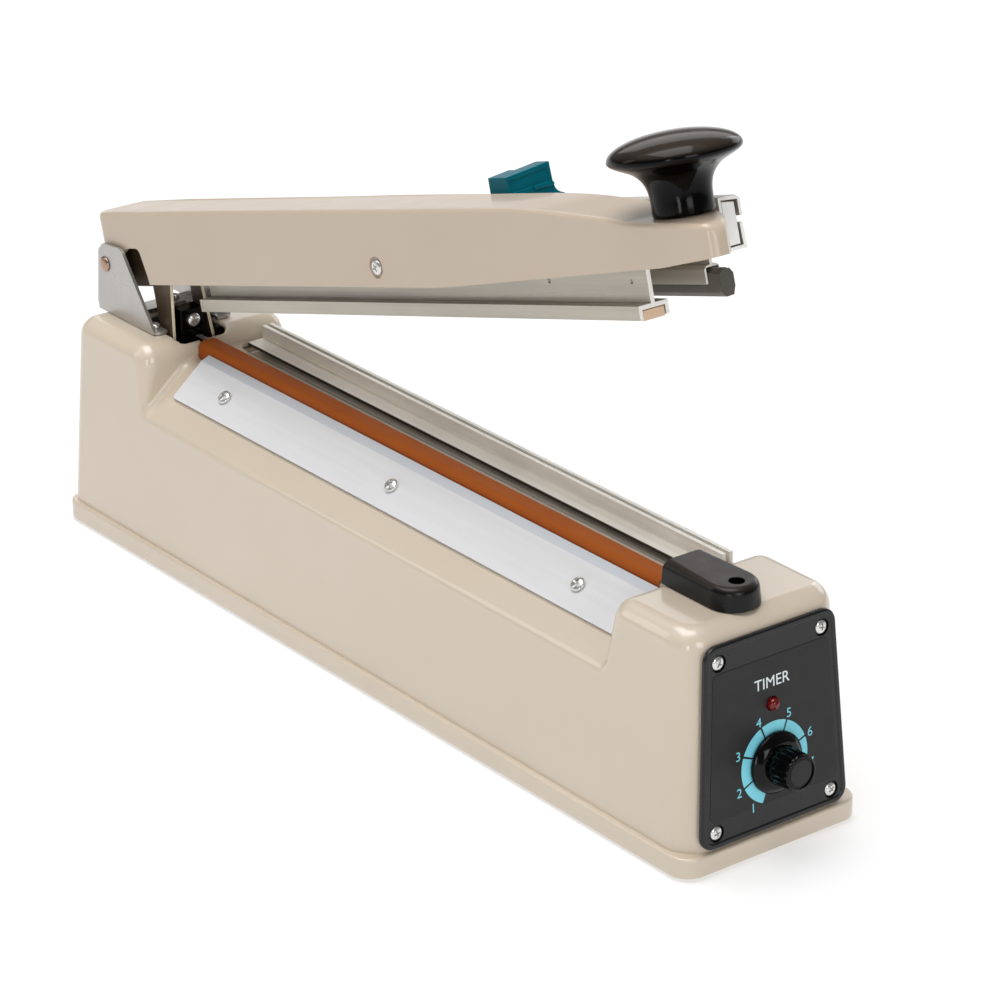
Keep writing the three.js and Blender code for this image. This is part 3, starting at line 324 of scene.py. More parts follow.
def make_materials():
    shaders = {
        "housing_paint": paint("cream_enamel", linear(208, 194, 175), linear(202, 187, 167), 0.8),
        "arm_paint": paint("cream_enamel_arm", linear(194, 177, 158), linear(188, 169, 150), 0.3),
        "aluminium": extruded("aluminium_profile", linear(250, 246, 236), 0.1, shade_top=RAIL_SHADE_TOP),
        # The arm's profile is a darker copy of the same aluminium: painted shade for the shadow
        # under the arm cover.
        "arm_aluminium_shaded": extruded("aluminium_profile_arm_shaded", linear(190, 183, 171), 0.4, ARM_RISE),
        "plate_steel": clamp_steel(),
        "screw_steel": sheet_steel("screw_steel", linear(222, 221, 218), 0.2, (1, 1, 1), 0.8),
        "chrome_plate": sheet_steel("satin_chrome", linear(184, 181, 177), 0.3, (1, 1, 0.05), 0.75),
        "zinc_plate": folded_steel(),
        "copper": sheet_steel("copper_rivet", linear(176, 146, 128), 0.28, (1, 1, 1)),
        "black_plastic": moulded("black_gloss", linear(3, 3, 3), 0.12, 500, 0.03, 0.22),
        "cap_black": worn_black("cap_satin_black", linear(42, 35, 29), 0.3, 0.28, 1400, 0.12),
        "handle_black": worn_black("handle_black", linear(54, 46, 40), 0.13, 0.14, 500, 0.03),
        "panel_charcoal": moulded("panel_charcoal", linear(34, 33, 33), 0.45, 2600, 0.10, 0.3),
        "panel_rim": moulded("panel_rim_black", linear(20, 20, 21), 0.28, 1400, 0.05, 0.4),
        "rubber": moulded("foot_rubber", linear(40, 40, 40), 0.75, 1400, 0.2),
        "silicone": moulded("silicone", linear(226, 194, 164), 0.6, 900, 0.1),
        "film_grey": moulded("film_core_grey", linear(84, 82, 74), 0.4, 900, 0.1),
        "teal_plastic": moulded("teal_gloss", linear(0, 102, 118), 0.2, 500, 0.04, 0.14),
        "core_iron": sheet_steel("laminations", linear(96, 92, 88), 0.6, (1, 0.02, 1), 0.5),
        "coil_wrap": moulded("coil_tape", linear(206, 150, 60), 0.5, 900, 0.1),
        "board_green": moulded("solder_mask", linear(38, 96, 58), 0.3, 1200),
        "ptfe": coated_cloth(),
        "red_plastic": moulded("red_lens", linear(120, 8, 8), 0.08, 300, 0.02,
                               Transmission_Weight=0.25, IOR=1.49),
        "print_cyan": moulded("print_cyan", linear(126, 214, 232), 0.5, 1600),
        "print_white": moulded("print_white", linear(226, 238, 240), 0.5, 1600),
    }
    return {slot: shader.material for slot, shader in shaders.items()}


MATERIALS = make_materials()


# ---- Mesh tools ----
def oval(cx, cy, across, up, start, end, steps):
    """Points on part of an ellipse, between two angles in degrees, both ends included."""
    angles = [radians(start + (end - start) * i / steps) for i in range(steps + 1)]
    return [(cx + across * cos(t), cy + up * sin(t)) for t in angles]


def arc(cx, cy, radius, start, end, steps):
    return oval(cx, cy, radius, radius, start, end, steps)


def rounded(points, radii, steps=5):
    """A closed outline with each corner rounded to its own radius."""
    outline = []
    count = len(points)
    for i, corner in enumerate(points):
        radius = radii[i] if isinstance(radii, (list, tuple)) else radii
        p = Vector(corner)
        if radius <= 0:
            outline.append(tuple(p))
            continue
        before = (Vector(points[i - 1]) - p).normalized()
        after = (Vector(points[(i + 1) % count]) - p).normalized()
        half = before.angle(after) / 2
        reach = radius / tan(half)
        centre = p + (before + after).normalized() * (radius / sin(half))
        first = p + before * reach - centre
        last = p + after * reach - centre
        sweep = first.angle_signed(last)
        for k in range(steps + 1):
            turned = first.copy()
            turned.rotate(Matrix.Rotation(-sweep * k / steps, 2))
            outline.append(tuple(centre + turned))
    return outline


def loft(rings, closed=False):
    """A skin over rings of equal point counts: capped at both ends, or closed into a loop."""
    bm = bmesh.new()
    rows = [[bm.verts.new(p) for p in ring] for ring in rings]
    count = len(rings[0])
    pairs = list(zip(rows, rows[1:]))
    if closed:
        pairs.append((rows[-1], rows[0]))
    for low, high in pairs:
        for i in range(count):
            j = (i + 1) % count
            bm.faces.new((low[i], low[j], high[j], high[i]))
    if not closed:
        bm.faces.new(rows[0][::-1])
        bm.faces.new(rows[-1])
    bmesh.ops.remove_doubles(bm, verts=bm.verts, dist=1e-4)
    bmesh.ops.recalc_face_normals(bm, faces=bm.faces)
    return bm


AXIS_PLACES = {
    "x": lambda u, v, w: (w, u, v),
    "y": lambda u, v, w: (u, w, v),
    "z": lambda u, v, w: (u, v, w),
}


def prism(outline, axis, start, end):
    """An outline in the two other axes (in x, y, z order), extruded along one axis."""
    place = AXIS_PLACES[axis]
    return loft([[place(u, v, w) for u, v in outline] for w in (start, end)])


def block(x0, x1, y0, y1, z0, z1):
    return prism([(x0, y0), (x1, y0), (x1, y1), (x0, y1)], "z", z0, z1)


def lathe(profile, axis, centre, sides=64):
    """A turned piece: the profile is (radius, place along the axis), from the axis back to it."""
    place = AXIS_PLACES[axis]
    bm = bmesh.new()
    rows = []
    for radius, w in profile:
        if radius < 1e-6:
            rows.append([bm.verts.new(place(0, 0, w))])
            continue
        points = arc(0, 0, radius, 0, 360 - 360 / sides, sides - 1)
        rows.append([bm.verts.new(place(u, v, w)) for u, v in points])
    for low, high in zip(rows, rows[1:]):
        for i in range(sides):
            j = (i + 1) % sides
            corners = [row[n % len(row)] for row, n in ((low, i), (low, j), (high, j), (high, i))]
            bm.faces.new(list(dict.fromkeys(corners)))
    bmesh.ops.translate(bm, verts=bm.verts, vec=centre)
    bmesh.ops.recalc_face_normals(bm, faces=bm.faces)
    return bm


def rod(axis, centre, radius, start, end, sides=32):
    """A plain round bar, used to bore holes; its centre is given in the two other axes."""
    at = AXIS_PLACES[axis](*centre, 0)
    return lathe([(0, start), (radius, start), (radius, end), (0, end)], axis, at, sides)


def merged(*pieces):
    """One mesh that holds several."""
    whole = bmesh.new()
    for bm in pieces:
        mesh = as_mesh("part", bm)
        whole.from_mesh(mesh)
        bpy.data.meshes.remove(mesh)
    return whole


def as_mesh(name, bm):
    mesh = bpy.data.meshes.new(name)
    bm.to_mesh(mesh)
    bm.free()
    return mesh


def linked(name, data):
    """An object in the scene that shows a mesh, curve, light or camera."""
    thing = bpy.data.objects.new(name, data)
    bpy.context.scene.collection.objects.link(thing)
    return thing


def evaluated(thing):
    """The mesh that an object shows, with its modifiers applied."""
    depsgraph = bpy.context.evaluated_depsgraph_get()
    bm = bmesh.new()
    bm.from_mesh(thing.evaluated_get(depsgraph).to_mesh())
    return bm


def boolean(body, tools, operation="DIFFERENCE"):
    """Cuts or joins closed meshes with the tools, one after another."""
    base, *others = [linked("scratch", as_mesh("scratch", bm)) for bm in (body, *tools)]
    for other in others:
        configured(base.modifiers.new("boolean", "BOOLEAN"), object=other, operation=operation,
                   solver="EXACT")
    result = evaluated(base)
    for thing in [base, *others]:
        bpy.data.meshes.remove(thing.data)
    bmesh.ops.remove_doubles(result, verts=result.verts, dist=1e-4)
    return result


def soften(bm, width, segments=2, sharp=30):
    """Rounds every edge that turns by more than the sharp angle."""
    bmesh.ops.dissolve_limit(bm, angle_limit=radians(0.6), verts=bm.verts, edges=bm.edges)
    edges = [e for e in bm.edges
             if len(e.link_faces) == 2 and e.calc_face_angle() > radians(sharp)]
    bmesh.ops.bevel(bm, geom=edges, offset=width, segments=segments, profile=0.5,
                    affect="EDGES", clamp_overlap=True)
    return bm


def finished(name, mesh, to_metres, material):
    """Puts a mesh in millimetres in its place, smooth and with its material."""
    mesh.transform(to_metres)
    mesh.shade_smooth()
    mesh.materials.append(MATERIALS[material])
    return linked(name, mesh)


def piece(name, bm, to_metres, body, slot, replaces=(), material=None, smooth=35):
    """Makes a mesh in millimetres into a named object on a body, in place of CAD nodes."""
    thing = finished(name, as_mesh(name, bm), to_metres, material or slot)
    thing.data.set_sharp_from_angle(angle=radians(smooth))
    thing.modifiers.new("normals", "WEIGHTED_NORMAL").keep_sharp = True
    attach(thing, body)
    if replaces:
        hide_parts(*replaces)
    return thing


def dress(node, material, width, segments):
    """Gives a CAD node its material, and rounds its edges without touching its mesh."""
    thing = NODES[node]
    thing.data.materials.clear()
    thing.data.materials.append(MATERIALS[material])
    configured(thing.modifiers.new("weld", "WELD"), merge_threshold=1e-6)
    configured(thing.modifiers.new("flat", "DECIMATE"), decimate_type="DISSOLVE",
               angle_limit=radians(1))
    if width:
        configured(thing.modifiers.new("edge", "BEVEL"), width=width * MM, segments=segments,
                   limit_method="ANGLE", angle_limit=radians(32), harden_normals=False)
    thing.modifiers.new("normals", "WEIGHTED_NORMAL").keep_sharp = False


# ---- Housing: a rounded solid traced from a distance field ----
def round_max(a, b, radius):
    """Where two fields both hold, with the edge between them rounded."""
    corner = np.hypot(np.maximum(a + radius, 0), np.maximum(b + radius, 0))
    return np.minimum(np.maximum(a, b), -radius) + corner


def body_field(x, y, z):
    draft = (z - FLANGE) * SIDE_DRAFT
    lean = (z - FLANGE) * tan(FRONT_LEAN)
    sides = np.maximum(STEP + draft - y, y - WIDTH + STEP + draft)
    rear = round_max(REAR_STEP + draft - x, sides, 9)
    front = round_max(x - LENGTH + STEP + lean, sides, 13)
    return round_max(np.where(x < LENGTH / 2, rear, front), z - TOP, 8)


def saddle_field(x, y, z):
    """Below zero in the gap between the turrets, above the sloping face and the flat."""
    bevel = (z - BEVEL_Z - (y - BEVEL_Y) * BEVEL_SLOPE) / hypot(1, BEVEL_SLOPE)
    above = -round_max(z - SADDLE_TOP, bevel, 2)
    return round_max(np.maximum(SADDLE_START - x, x - SADDLE_END), above, 3)


def box_field(x, y, z, low, high, corner=0.0):
    """A box with rounded upright edges; z runs on without a top."""
    u = np.abs(x - (low[0] + high[0]) / 2) - (high[0] - low[0]) / 2
    v = np.abs(y - (low[1] + high[1]) / 2) - (high[1] - low[1]) / 2
    return np.maximum(round_max(u, v, corner), low[2] - z)


WELL = (26, 26.5, 70), (58.6, 53)
TROUGH = (60, 54.5, 79.2), (381, 77.5)
BED_SLOT = (61.5, 35.1, 80), (376.2, 45.3)
RAIL_SLOT = (62, 57.3, 82), (379, 74.5)
TERMINAL_SLOT = (386, 33.2, 86), (408, 47.2)
TAPE_SLOTS = ((57, 38, 92.6), (63, 42.4)), ((375, 38, 92.6), (388, 42.4))
WINDOW = (LENGTH - 30, 16, 22), (LENGTH + 9, 74)
WINDOW_TOP = 78


def housing_field(x, y, z):
    edge = np.interp(z, (66, 90), (1.8, 8.5))
    outer = round_max(body_field(x, y, z), -saddle_field(x, y, z), edge)
    shell = np.maximum(np.maximum(outer, -(outer + WALL)), 6.5 - z)
    shell = round_max(shell, -box_field(x, y, z, *WELL, 4), 1.2)
    trough = np.maximum(box_field(x, y, z, *TROUGH), z - SADDLE_TOP + 1)
    solid = np.minimum(shell, trough)
    for slot in (BED_SLOT, RAIL_SLOT, TERMINAL_SLOT, *TAPE_SLOTS):
        solid = np.maximum(solid, -box_field(x, y, z, *slot))
    solid = np.maximum(solid, -np.maximum(box_field(x, y, z, *WINDOW), z - WINDOW_TOP))
    for hole_y, radius in ((GLAND_Y, 6.3), (FUSE_Y, 6.5)):
        bore = np.maximum(np.hypot(y - hole_y, z - FITTING_Z) - radius, x - 12)
        solid = np.maximum(solid, -bore)
    return solid


def slope_of(field, p):
    """The field and its gradient at an array of points."""
    reach = 0.02
    here = field(*p)
    steps = np.eye(3)[:, :, None] * reach
    gradient = np.array([field(*(p + step)) - here for step in steps]) / reach
    return here, gradient


def pulled(field, points, centres, step):
    """Moves points onto the field's zero level, each kept near the middle of its own cell."""
    for _ in range(5):
        value, gradient = slope_of(field, points)
        points = points - gradient * value / np.maximum((gradient ** 2).sum(0), 0.05)
        points = np.clip(points, centres - step * 0.75, centres + step * 0.75)
    return points


def evened(points, quads):
    """Moves each point halfway to the mean middle of the faces around it."""
    middles = points[:, quads].mean(axis=2)
    total = np.zeros_like(points)
    count = np.zeros(points.shape[1])
    for corner in quads.T:
        np.add.at(count, corner, 1)
        for axis in range(3):
            np.add.at(total[axis], corner, middles[axis])
    return (points + total / np.maximum(count, 1)) / 2


def traced(field, low, high, step):
    """Quads over a field's zero level, a vertex in each cell that it crosses, and normals."""
    axes = [np.arange(lo, hi + step, step) for lo, hi in zip(low, high)]
    inside = field(*np.meshgrid(*axes, indexing="ij", sparse=True)) < 0
    size = np.array(inside.shape) - 1
    corners_inside = sum(inside[i:size[0] + i, j:size[1] + j, k:size[2] + k].astype(np.int8)
                         for i in (0, 1) for j in (0, 1) for k in (0, 1))
    crossed = (corners_inside > 0) & (corners_inside < 8)
    index = np.full(crossed.shape, -1)
    index[crossed] = np.arange(crossed.sum())
    centres = (np.argwhere(crossed) + 0.5) * step + np.array(low)
    points = pulled(field, centres.T, centres.T, step)
    quads = []
    for d in range(3):
        order = (d, (d + 1) % 3, (d + 2) % 3)
        solid = np.moveaxis(inside, order, (0, 1, 2))
        cell = np.moveaxis(index, order, (0, 1, 2))
        here, beyond = solid[:-1, 1:-1, 1:-1], solid[1:, 1:-1, 1:-1]
        for crossing, sense in ((here & ~beyond, 1), (~here & beyond, -1)):
            i, j, k = np.nonzero(crossing)
            around = [cell[i, j, k], cell[i, j + 1, k], cell[i, j + 1, k + 1], cell[i, j, k + 1]]
            quads.append(np.stack(around[::sense], axis=1))
    quads = np.concatenate(quads)
    points = pulled(field, evened(points, quads), centres.T, step)
    _, normals = slope_of(field, points)
    normals /= np.maximum(np.linalg.norm(normals, axis=0), 1e-6)
    return points.T, quads, normals.T


def flange_ring(inset, z):
    """The flange's outline, moved inwards."""
    front, far = LENGTH - inset, WIDTH - inset
    points = [(inset, inset), (front, inset), (front, far), (inset, far)]
    return [(x, y, z) for x, y in rounded(points, max(FLANGE_CORNER - inset, 0.5), 12)]


def make_housing():
    step = 1.25
    low, high = (-3, -3, 4), (LENGTH + 3, WIDTH + 3, TOP + 3)
    points, quads, normals = traced(housing_field, low, high, step)
    mesh = bpy.data.meshes.new("housing_shell")
    mesh.from_pydata(points.tolist(), [], quads.tolist())
    shell = finished("housing_shell", mesh, BASE, "housing_paint")
    mesh.normals_split_custom_set_from_vertices(normals.tolist())
    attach(shell, "base")
    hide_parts("housing")
    soft, lip = 1.2, 8.5
    profile = [(lip, 0.1), (0.4, 0), (0.1, 0.1), (0, 0.4), (0, FLANGE - soft)]
    profile += arc(soft, FLANGE - soft, soft, 162, 90, 4)
    flange = loft([flange_ring(*p) for p in [*profile, (lip, FLANGE)]], closed=True)
    piece("housing_flange", flange, BASE, "base", "housing_paint", smooth=50)


# ---- Arm cover ----
ARM_NEAR = 22.5
ARM_SCREW = (208.9, -1.9)
SCREW_SUNK = 1.1
ARM_END = 421
ARM_TAIL = -8.5
TAIL_CORNER = 9.5
NOSE_CORNER = 6
NOSE_DROP = 4.5
FAR_SIDE = [(ARM_TAIL, 52.4), (40, 53), (120, 53.6), (200, 54.8), (251, 55), (300, 54.9), (345, 54),
            (373, 53), (384, 52.2), (391, 50.8), (400, 47.3), (410, 40.6), (416, 35.6),
            (ARM_END, 30.8)]
TOP_LINE = [(ARM_TAIL, 22.4), (40, 22.6), (120, 22.3), (200, 21.9), (251, 21.5), (300, 21),
            (318, 20.4), (337, 19.0), (361, 16.7), (373, 15), (384, 14.6), (ARM_END, 14)]
BOTTOM_LINE = [(ARM_TAIL, -10), (251, -10), (300, -7.2), (345, -4.7), (391, -1.9), (ARM_END, 1.7)]


def curve_through(points):
    """A smooth function through points that never overshoots them (monotone cubic)."""
    xs, ys = np.array(points, float).T
    widths = np.diff(xs)
    slopes = np.diff(ys) / widths
    tangents = np.concatenate([slopes[:1], slopes, slopes[-1:]])
    product = tangents[:-1] * tangents[1:]
    total = tangents[:-1] + tangents[1:]
    tangents = np.where(product > 0, 2 * product / np.where(np.abs(total) < 1e-9, 1, total), 0)

    def value(x):
        i = int(np.clip(np.searchsorted(xs, x) - 1, 0, len(widths) - 1))
        t = (x - xs[i]) / widths[i]
        rise = (1 + 2 * t) * (1 - t) ** 2 * ys[i] + t * t * (3 - 2 * t) * ys[i + 1]
        lean = t * (1 - t) ** 2 * tangents[i] - t * t * (1 - t) * tangents[i + 1]
        return rise + widths[i] * lean
    return value


arm_far = curve_through(FAR_SIDE)
arm_top = curve_through(TOP_LINE)


def corner_cut(radius, past):
    """How far a rounded corner has drawn in, at a distance past its start."""
    return radius - sqrt(max(radius ** 2 - max(past, 0.0) ** 2, 0))


def arm_near(a):
    tail = corner_cut(TAIL_CORNER, ARM_TAIL + TAIL_CORNER - a)
    return ARM_NEAR + tail + corner_cut(NOSE_CORNER, a - (ARM_END - NOSE_CORNER))


def arm_ring(a, inset=0.0, drop=0.0):
    near = arm_near(a) + inset
    far = arm_far(a) - inset
    top = arm_top(a) - inset - corner_cut(NOSE_DROP, a - (ARM_END - NOSE_DROP))
    bottom = float(np.interp(a, *np.array(BOTTOM_LINE).T)) - drop
    radius = min(2.2 - inset * 0.9, (far - near) * 0.45)
    ring = [(near, bottom), (far, bottom)]
    ring += arc(far - radius, top - radius, radius, 0, 90, 5)
    ring += arc(near + radius, top - radius, radius, 90, 180, 5)
    return [(a, y, h) for y, h in ring]


def arm_stations(start, end):
    """Places along the arm for its rings, closer where it curves."""
    turns = [radians(t) for t in range(0, 91, 9)]
    stations = {start, end, *range(6, 361, 12), *range(364, 415, 3)}
    stations.update(ARM_TAIL + TAIL_CORNER * (1 - cos(t)) for t in turns)
    stations.update(ARM_END - NOSE_CORNER * (1 - sin(t)) for t in turns)
    return sorted(a for a in stations if start <= a <= end)


def make_arm_cover():
    wall = 1.8
    outer = loft([arm_ring(a) for a in arm_stations(ARM_TAIL, ARM_END)])
    outer = soften(outer, 0.5, 2, 50)
    inner = loft([arm_ring(a, wall, 20) for a in arm_stations(ARM_TAIL + 4.5, ARM_END - 4)])
    corners = [(9, -14), (31.2, -14), (30, -6), (26.4, 6.3), (16.5, 6.3), (9, 2)]
    notch = prism(rounded(corners, [0, 0, 8, 3.6, 4, 2], 6), "y", 10, 70)
    screw_hole = rod("y", ARM_SCREW, 1.9, 10, 30)
    sunk = ARM_NEAR + SCREW_SUNK
    pocket = lathe([(0, 10), (4.5, 10), (4.5, ARM_NEAR), (4.3, sunk), (0, sunk)],
                   "y", (ARM_SCREW[0], 0, ARM_SCREW[1]), 40)
    pin_hole = rod("y", (0, 0), 2.9, 10, 70)
    handle_hole = rod("z", HANDLE, 3.4, 5, 30)
    cover = boolean(outer, [inner, notch, pocket, screw_hole, pin_hole, handle_hole])
    cover = soften(cover, 0.22, 1, 40)
    piece("arm_cover_shell", cover, ARM, "arm", "housing_paint", ["arm_cover"], "arm_paint", 32)


# ---- Handle, cutter and arm trim ----
def make_handle():
    foot = 14.9
    stem = [(0, foot), (11.2, foot), (11.7, foot + 0.5), (11.6, 20), (11.7, 22.5)]
    flare = [(12, 24.6), (12.6, 26.6), (13.6, 28.5), (15, 30.2), (16.8, 31.7), (18.8, 32.8)]
    edge = [(21, 33.8), (23, 34.8), (24.5, 35.8), (25.05, 36.5)]
    radius, rim, crown = 25.2, 37.2, 8.2
    dome = oval(0, rim, radius, crown, 0, 85, 17)
    profile = stem + flare + edge + dome + [(0, rim + crown)]
    bm = lathe(profile, "z", (*HANDLE, 0), 96)
    piece("handle_knob", bm, ARM, "arm", "black_plastic", ["handle"], "handle_black", 60)


def make_cutter_handle():
    middle, half = 248.4, 6.2
    side = middle + half
    shoe = block(middle - 13, middle + 13, 59.9, 65.6, -1.8, 14.4)
    neck = block(middle - 12, middle + 12, 65, 71, 6.5, 7.9)
    cheek = block(middle - 12, middle + 12, 68.9, 73, -8, 14)
    far_side = [(74, 14.3), (87.5, 14.3), (87.5, 14.9), (85.6, 15.6), (84.2, 16.5), (83.3, 17.8),
                (82.6, 20.2), (82.2, 28.6)]
    outline = [(68.9, 13), (73, 13), *far_side, (60.2, 26.2), (60.2, 17.4), (68.9, 17.4)]
    whole = boolean(shoe, [neck, cheek, prism(outline, "x", middle - half, side)], "UNION")
    slot = block(middle - 9.3, middle + 9.3, 68.4, 70, -9, 2.4)
    dish = prism([(61.6, 19.4), (80.9, 20.9), (80.6, 26.6), (61.6, 24.6)], "x",
                 side - 0.5, side + 3)
    step = prism([(71, 26.9), (71.6, 26.2), (90, 28.2), (90, 40), (71, 40)], "x",
                 middle - half - 1, middle - half + 4)
    whole = soften(boolean(whole, [slot, dish, step]), 0.45, 3, 30)
    piece("cutter_grip", whole, ARM, "cutter", "teal_plastic", ["cutter_handle"], smooth=40)
    ledge = soften(block(side - 0.3, side + 0.9, 72.4, 82.6, 18.9, 20.5), 0.4, 2)
    short = soften(block(side - 0.3, side + 0.9, 61.2, 68.5, 18.2, 19.2), 0.3, 2)
    piece("cutter_grip_ledges", merged(ledge, short), ARM, "cutter", "teal_plastic", smooth=40)


def recess(radius, depth, top):
    """A cross recess with tapered arms, as a cutting tool that reaches above the head."""
    long, wide = radius * 0.56, radius * 0.13
    levels = [(long * 0.55, wide * 0.7, depth), (long, wide, top), (long, wide, top + 2)]
    arms = []
    for turn in (0, 90):
        bm = loft([[(-u, -v, z), (u, -v, z), (u, v, z), (-u, v, z)] for u, v, z in levels])
        matrix = Matrix.Rotation(radians(turn), 3, "Z")
        bmesh.ops.rotate(bm, verts=bm.verts, matrix=matrix)
        arms.append(bm)
    return arms


def make_screw(node, to_metres, seat, turn, radius, height, shank, spin, body="base"):
    """A pan-head screw: drawn upright on its seat, then turned to point out of the work."""
    shank_radius, length = shank
    profile = [(0, -length), (shank_radius * 0.8, -length), (shank_radius, -length + 0.6),
               (shank_radius, 0), (radius, 0)]
    profile += oval(0, height * 0.35, radius, height * 0.65, 0, 80, 8) + [(0, height)]
    bm = boolean(lathe(profile, "z", (0, 0, 0), 40), recess(radius, height * 0.30, height))
    matrix = Matrix.Translation(seat) @ turn @ Matrix.Rotation(radians(spin), 4, "Z")
    piece(node + "_pan_head", bm, to_metres @ matrix, body, "screw_steel", [node], smooth=30)


UP = Matrix.Identity(4)
FORWARD = Matrix.Rotation(radians(90), 4, "Y")
TO_OPERATOR = Matrix.Rotation(radians(90), 4, "X")
CLAMP_SCREW_X = (100.5, 221.5, 342.5)
CLAMP_SCREW_Y = 22.8
BEVEL_ANGLE = atan(BEVEL_SLOPE)
PLATE_LIFT = 1.45


def plate_z(y):
    return BEVEL_Z + (y - BEVEL_Y) * BEVEL_SLOPE + PLATE_LIFT / cos(BEVEL_ANGLE)


def make_screws():
    tilt = Matrix.Rotation(BEVEL_ANGLE, 4, "X")
    lift = tilt @ Vector((0, 0, 0.3))
    for i, x in enumerate(CLAMP_SCREW_X):
        seat = Vector((x, CLAMP_SCREW_Y, plate_z(CLAMP_SCREW_Y))) + lift
        make_screw(f"clamp_screw_{i + 1}", BASE, seat, tilt, 3.2, 1.9, (1.6, 9), 20 + 31 * i)
    for i, (y, z) in enumerate(PANEL_SCREWS):
        seat = (0.8, y, up_face(z))
        make_screw(f"panel_screw_{i + 1}", FACE, seat, FORWARD, 2.8, 1.6, (1.6, 9), 12 + 23 * i)
    arm_seat = (ARM_SCREW[0], ARM_NEAR + SCREW_SUNK - 0.2, ARM_SCREW[1])
    make_screw("arm_screw", ARM, arm_seat, TO_OPERATOR, 3.2, 1.5, (1.6, 14), 25, "arm")
    make_screw("rear_terminal_screw", BASE, (53.3, 38.2, 101), FORWARD, 3.1, 1.9, (1.3, 5), 18)
    make_screw("cap_screw", BASE, (*CAP_SCREW, TOP + 3.6), UP, 2.7, 1.8, (1.5, 10), 30)
    for i, (x, y) in enumerate([(44, 24.2), (44, 56.2), (18.5, 29.5), (18.5, 51)]):
        seat = (x, y, TOP + 2.1)
        make_screw(f"bracket_screw_{i + 1}", BASE, seat, UP, 2.3, 1.8, (1.5, 8), 40 * i)


# ---- Hinge and rear mechanism ----
def make_hinge():
    floor_z, sheet, near_y, far_y = TOP + 0.3, 1.5, 20, 60.4
    side = [(5, floor_z), (50.3, floor_z), (24.3, 129.5), (9.5, 128.1), (6.1, 124.5), (4.1, 100)]
    side = rounded(side, [0, 0.8, 5, 2.5, 2.5, 3], 6)
    near = prism(side, "y", near_y, near_y + sheet)
    far = prism(side, "y", far_y - sheet, far_y)
    floor = rounded([(14.5, near_y), (50.3, near_y), (50.3, far_y), (14.5, far_y)],
                    [0.5, 3, 3, 0.5], 6)
    whole = boolean(near, [far, prism(floor, "z", floor_z, floor_z + sheet)], "UNION")
    well = block(24, 80, WELL[0][1], WELL[1][1], floor_z - 2, floor_z + 6)
    whole = boolean(whole, [well, rod("y", (PIN_X, PIN_Z), 2.7, 10, 70)])
    piece("hinge_plates", soften(whole, 0.6, 3, 35), BASE, "base", "chrome_plate",
          ["hinge_bracket"], smooth=30)
    head, pin, dome, low, high = 3.5, 2.4, 1.2, near_y - 0.3, far_y + 0.3
    crown = oval(0, 0, head, dome, 15, 75, 4)
    profile = [(0, low - dome), *((r, low - w) for r, w in crown[::-1]), (head, low), (pin, low),
               (pin, high), (head, high), *((r, high + w) for r, w in crown), (0, high + dome)]
    rivet = lathe(profile, "y", (PIN_X, 0, PIN_Z), 48)
    piece("hinge_rivet", rivet, BASE, "base", "copper", ["hinge_pin"], smooth=40)


def make_spring():
    """Return spring from the arm's leg to its anchor, straight at its ends."""
    y, z, start, end, lead = 49.55, 78, 56.2, 106.0, 5.0
    coil, wire, turns, steps_per_turn = 3.75, 0.6, 14, 20
    steps = turns * steps_per_turn
    points = [(start, y, z), (start + 2, y, z)]
    for i in range(steps + 1):
        share = i / steps
        radius = coil * min(1, min(share, 1 - share) * turns)
        angle = share * turns * 2 * pi
        x = start + lead + (end - start - 2 * lead) * share
        points.append((x, y + radius * sin(angle), z + radius * cos(angle)))
    points += [(end - 2, y, z), (end, y, z)]
    rings = []
    for i, p in enumerate(points):
        before, after = Vector(points[max(i - 1, 0)]), Vector(points[min(i + 1, len(points) - 1)])
        along = (after - before).normalized()
        out = Vector(p) - Vector((p[0], y, z))
        out = out.normalized() if out.length > wire / 2 else Vector((0, 0, 1))
        side = along.cross(out).normalized()
        out = side.cross(along).normalized()
        rings.append([tuple(Vector(p) + out * wire * cos(t) + side * wire * sin(t))
                      for t in (radians(45 * k) for k in range(8))])
    name = "return_spring_coil"
    thing = finished(name, as_mesh(name, loft(rings)), BASE, "screw_steel")
    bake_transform(thing)
    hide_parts("return_spring")


# ---- Sealing bed: cloth and clamp plate ----
def make_ptfe():
    """The cloth stretched over the bed: an upside-down U of thin coated cloth."""
    low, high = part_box("ptfe_cloth")
    rear, front = ((v.x - HOUSING_LOW.x) / MM for v in (low, high))
    half, top, foot, thick, bend, steps = 5.3, 93.95, 86.1, 0.3, 3.2, 10

    def line(inset):
        r = bend - inset
        curve = arc(BED_Y - half + bend, top - bend, r, 180, 90, steps)
        curve += arc(BED_Y + half - bend, top - bend, r, 90, 0, steps)
        return [(BED_Y - half + inset, foot), *curve, (BED_Y + half - inset, foot)]

    def wander(x, y):
        """How far a side of the cloth drifts towards the middle of the bed."""
        if abs(y - BED_Y) <= half - 1:
            return 0
        return copysign(0.05, BED_Y - y) * sin(x * 0.11) * sin(x * 0.043 + 1)

    outer, inner = line(0), line(thick)
    rings = [[(x, y + wander(x, y), z) for y, z in outer + inner[::-1]]
             for x in np.linspace(rear, front, 120)]
    cloth = piece("ptfe_cover_cloth", loft(rings), BASE, "base", "ptfe", ["ptfe_cloth"], smooth=60)


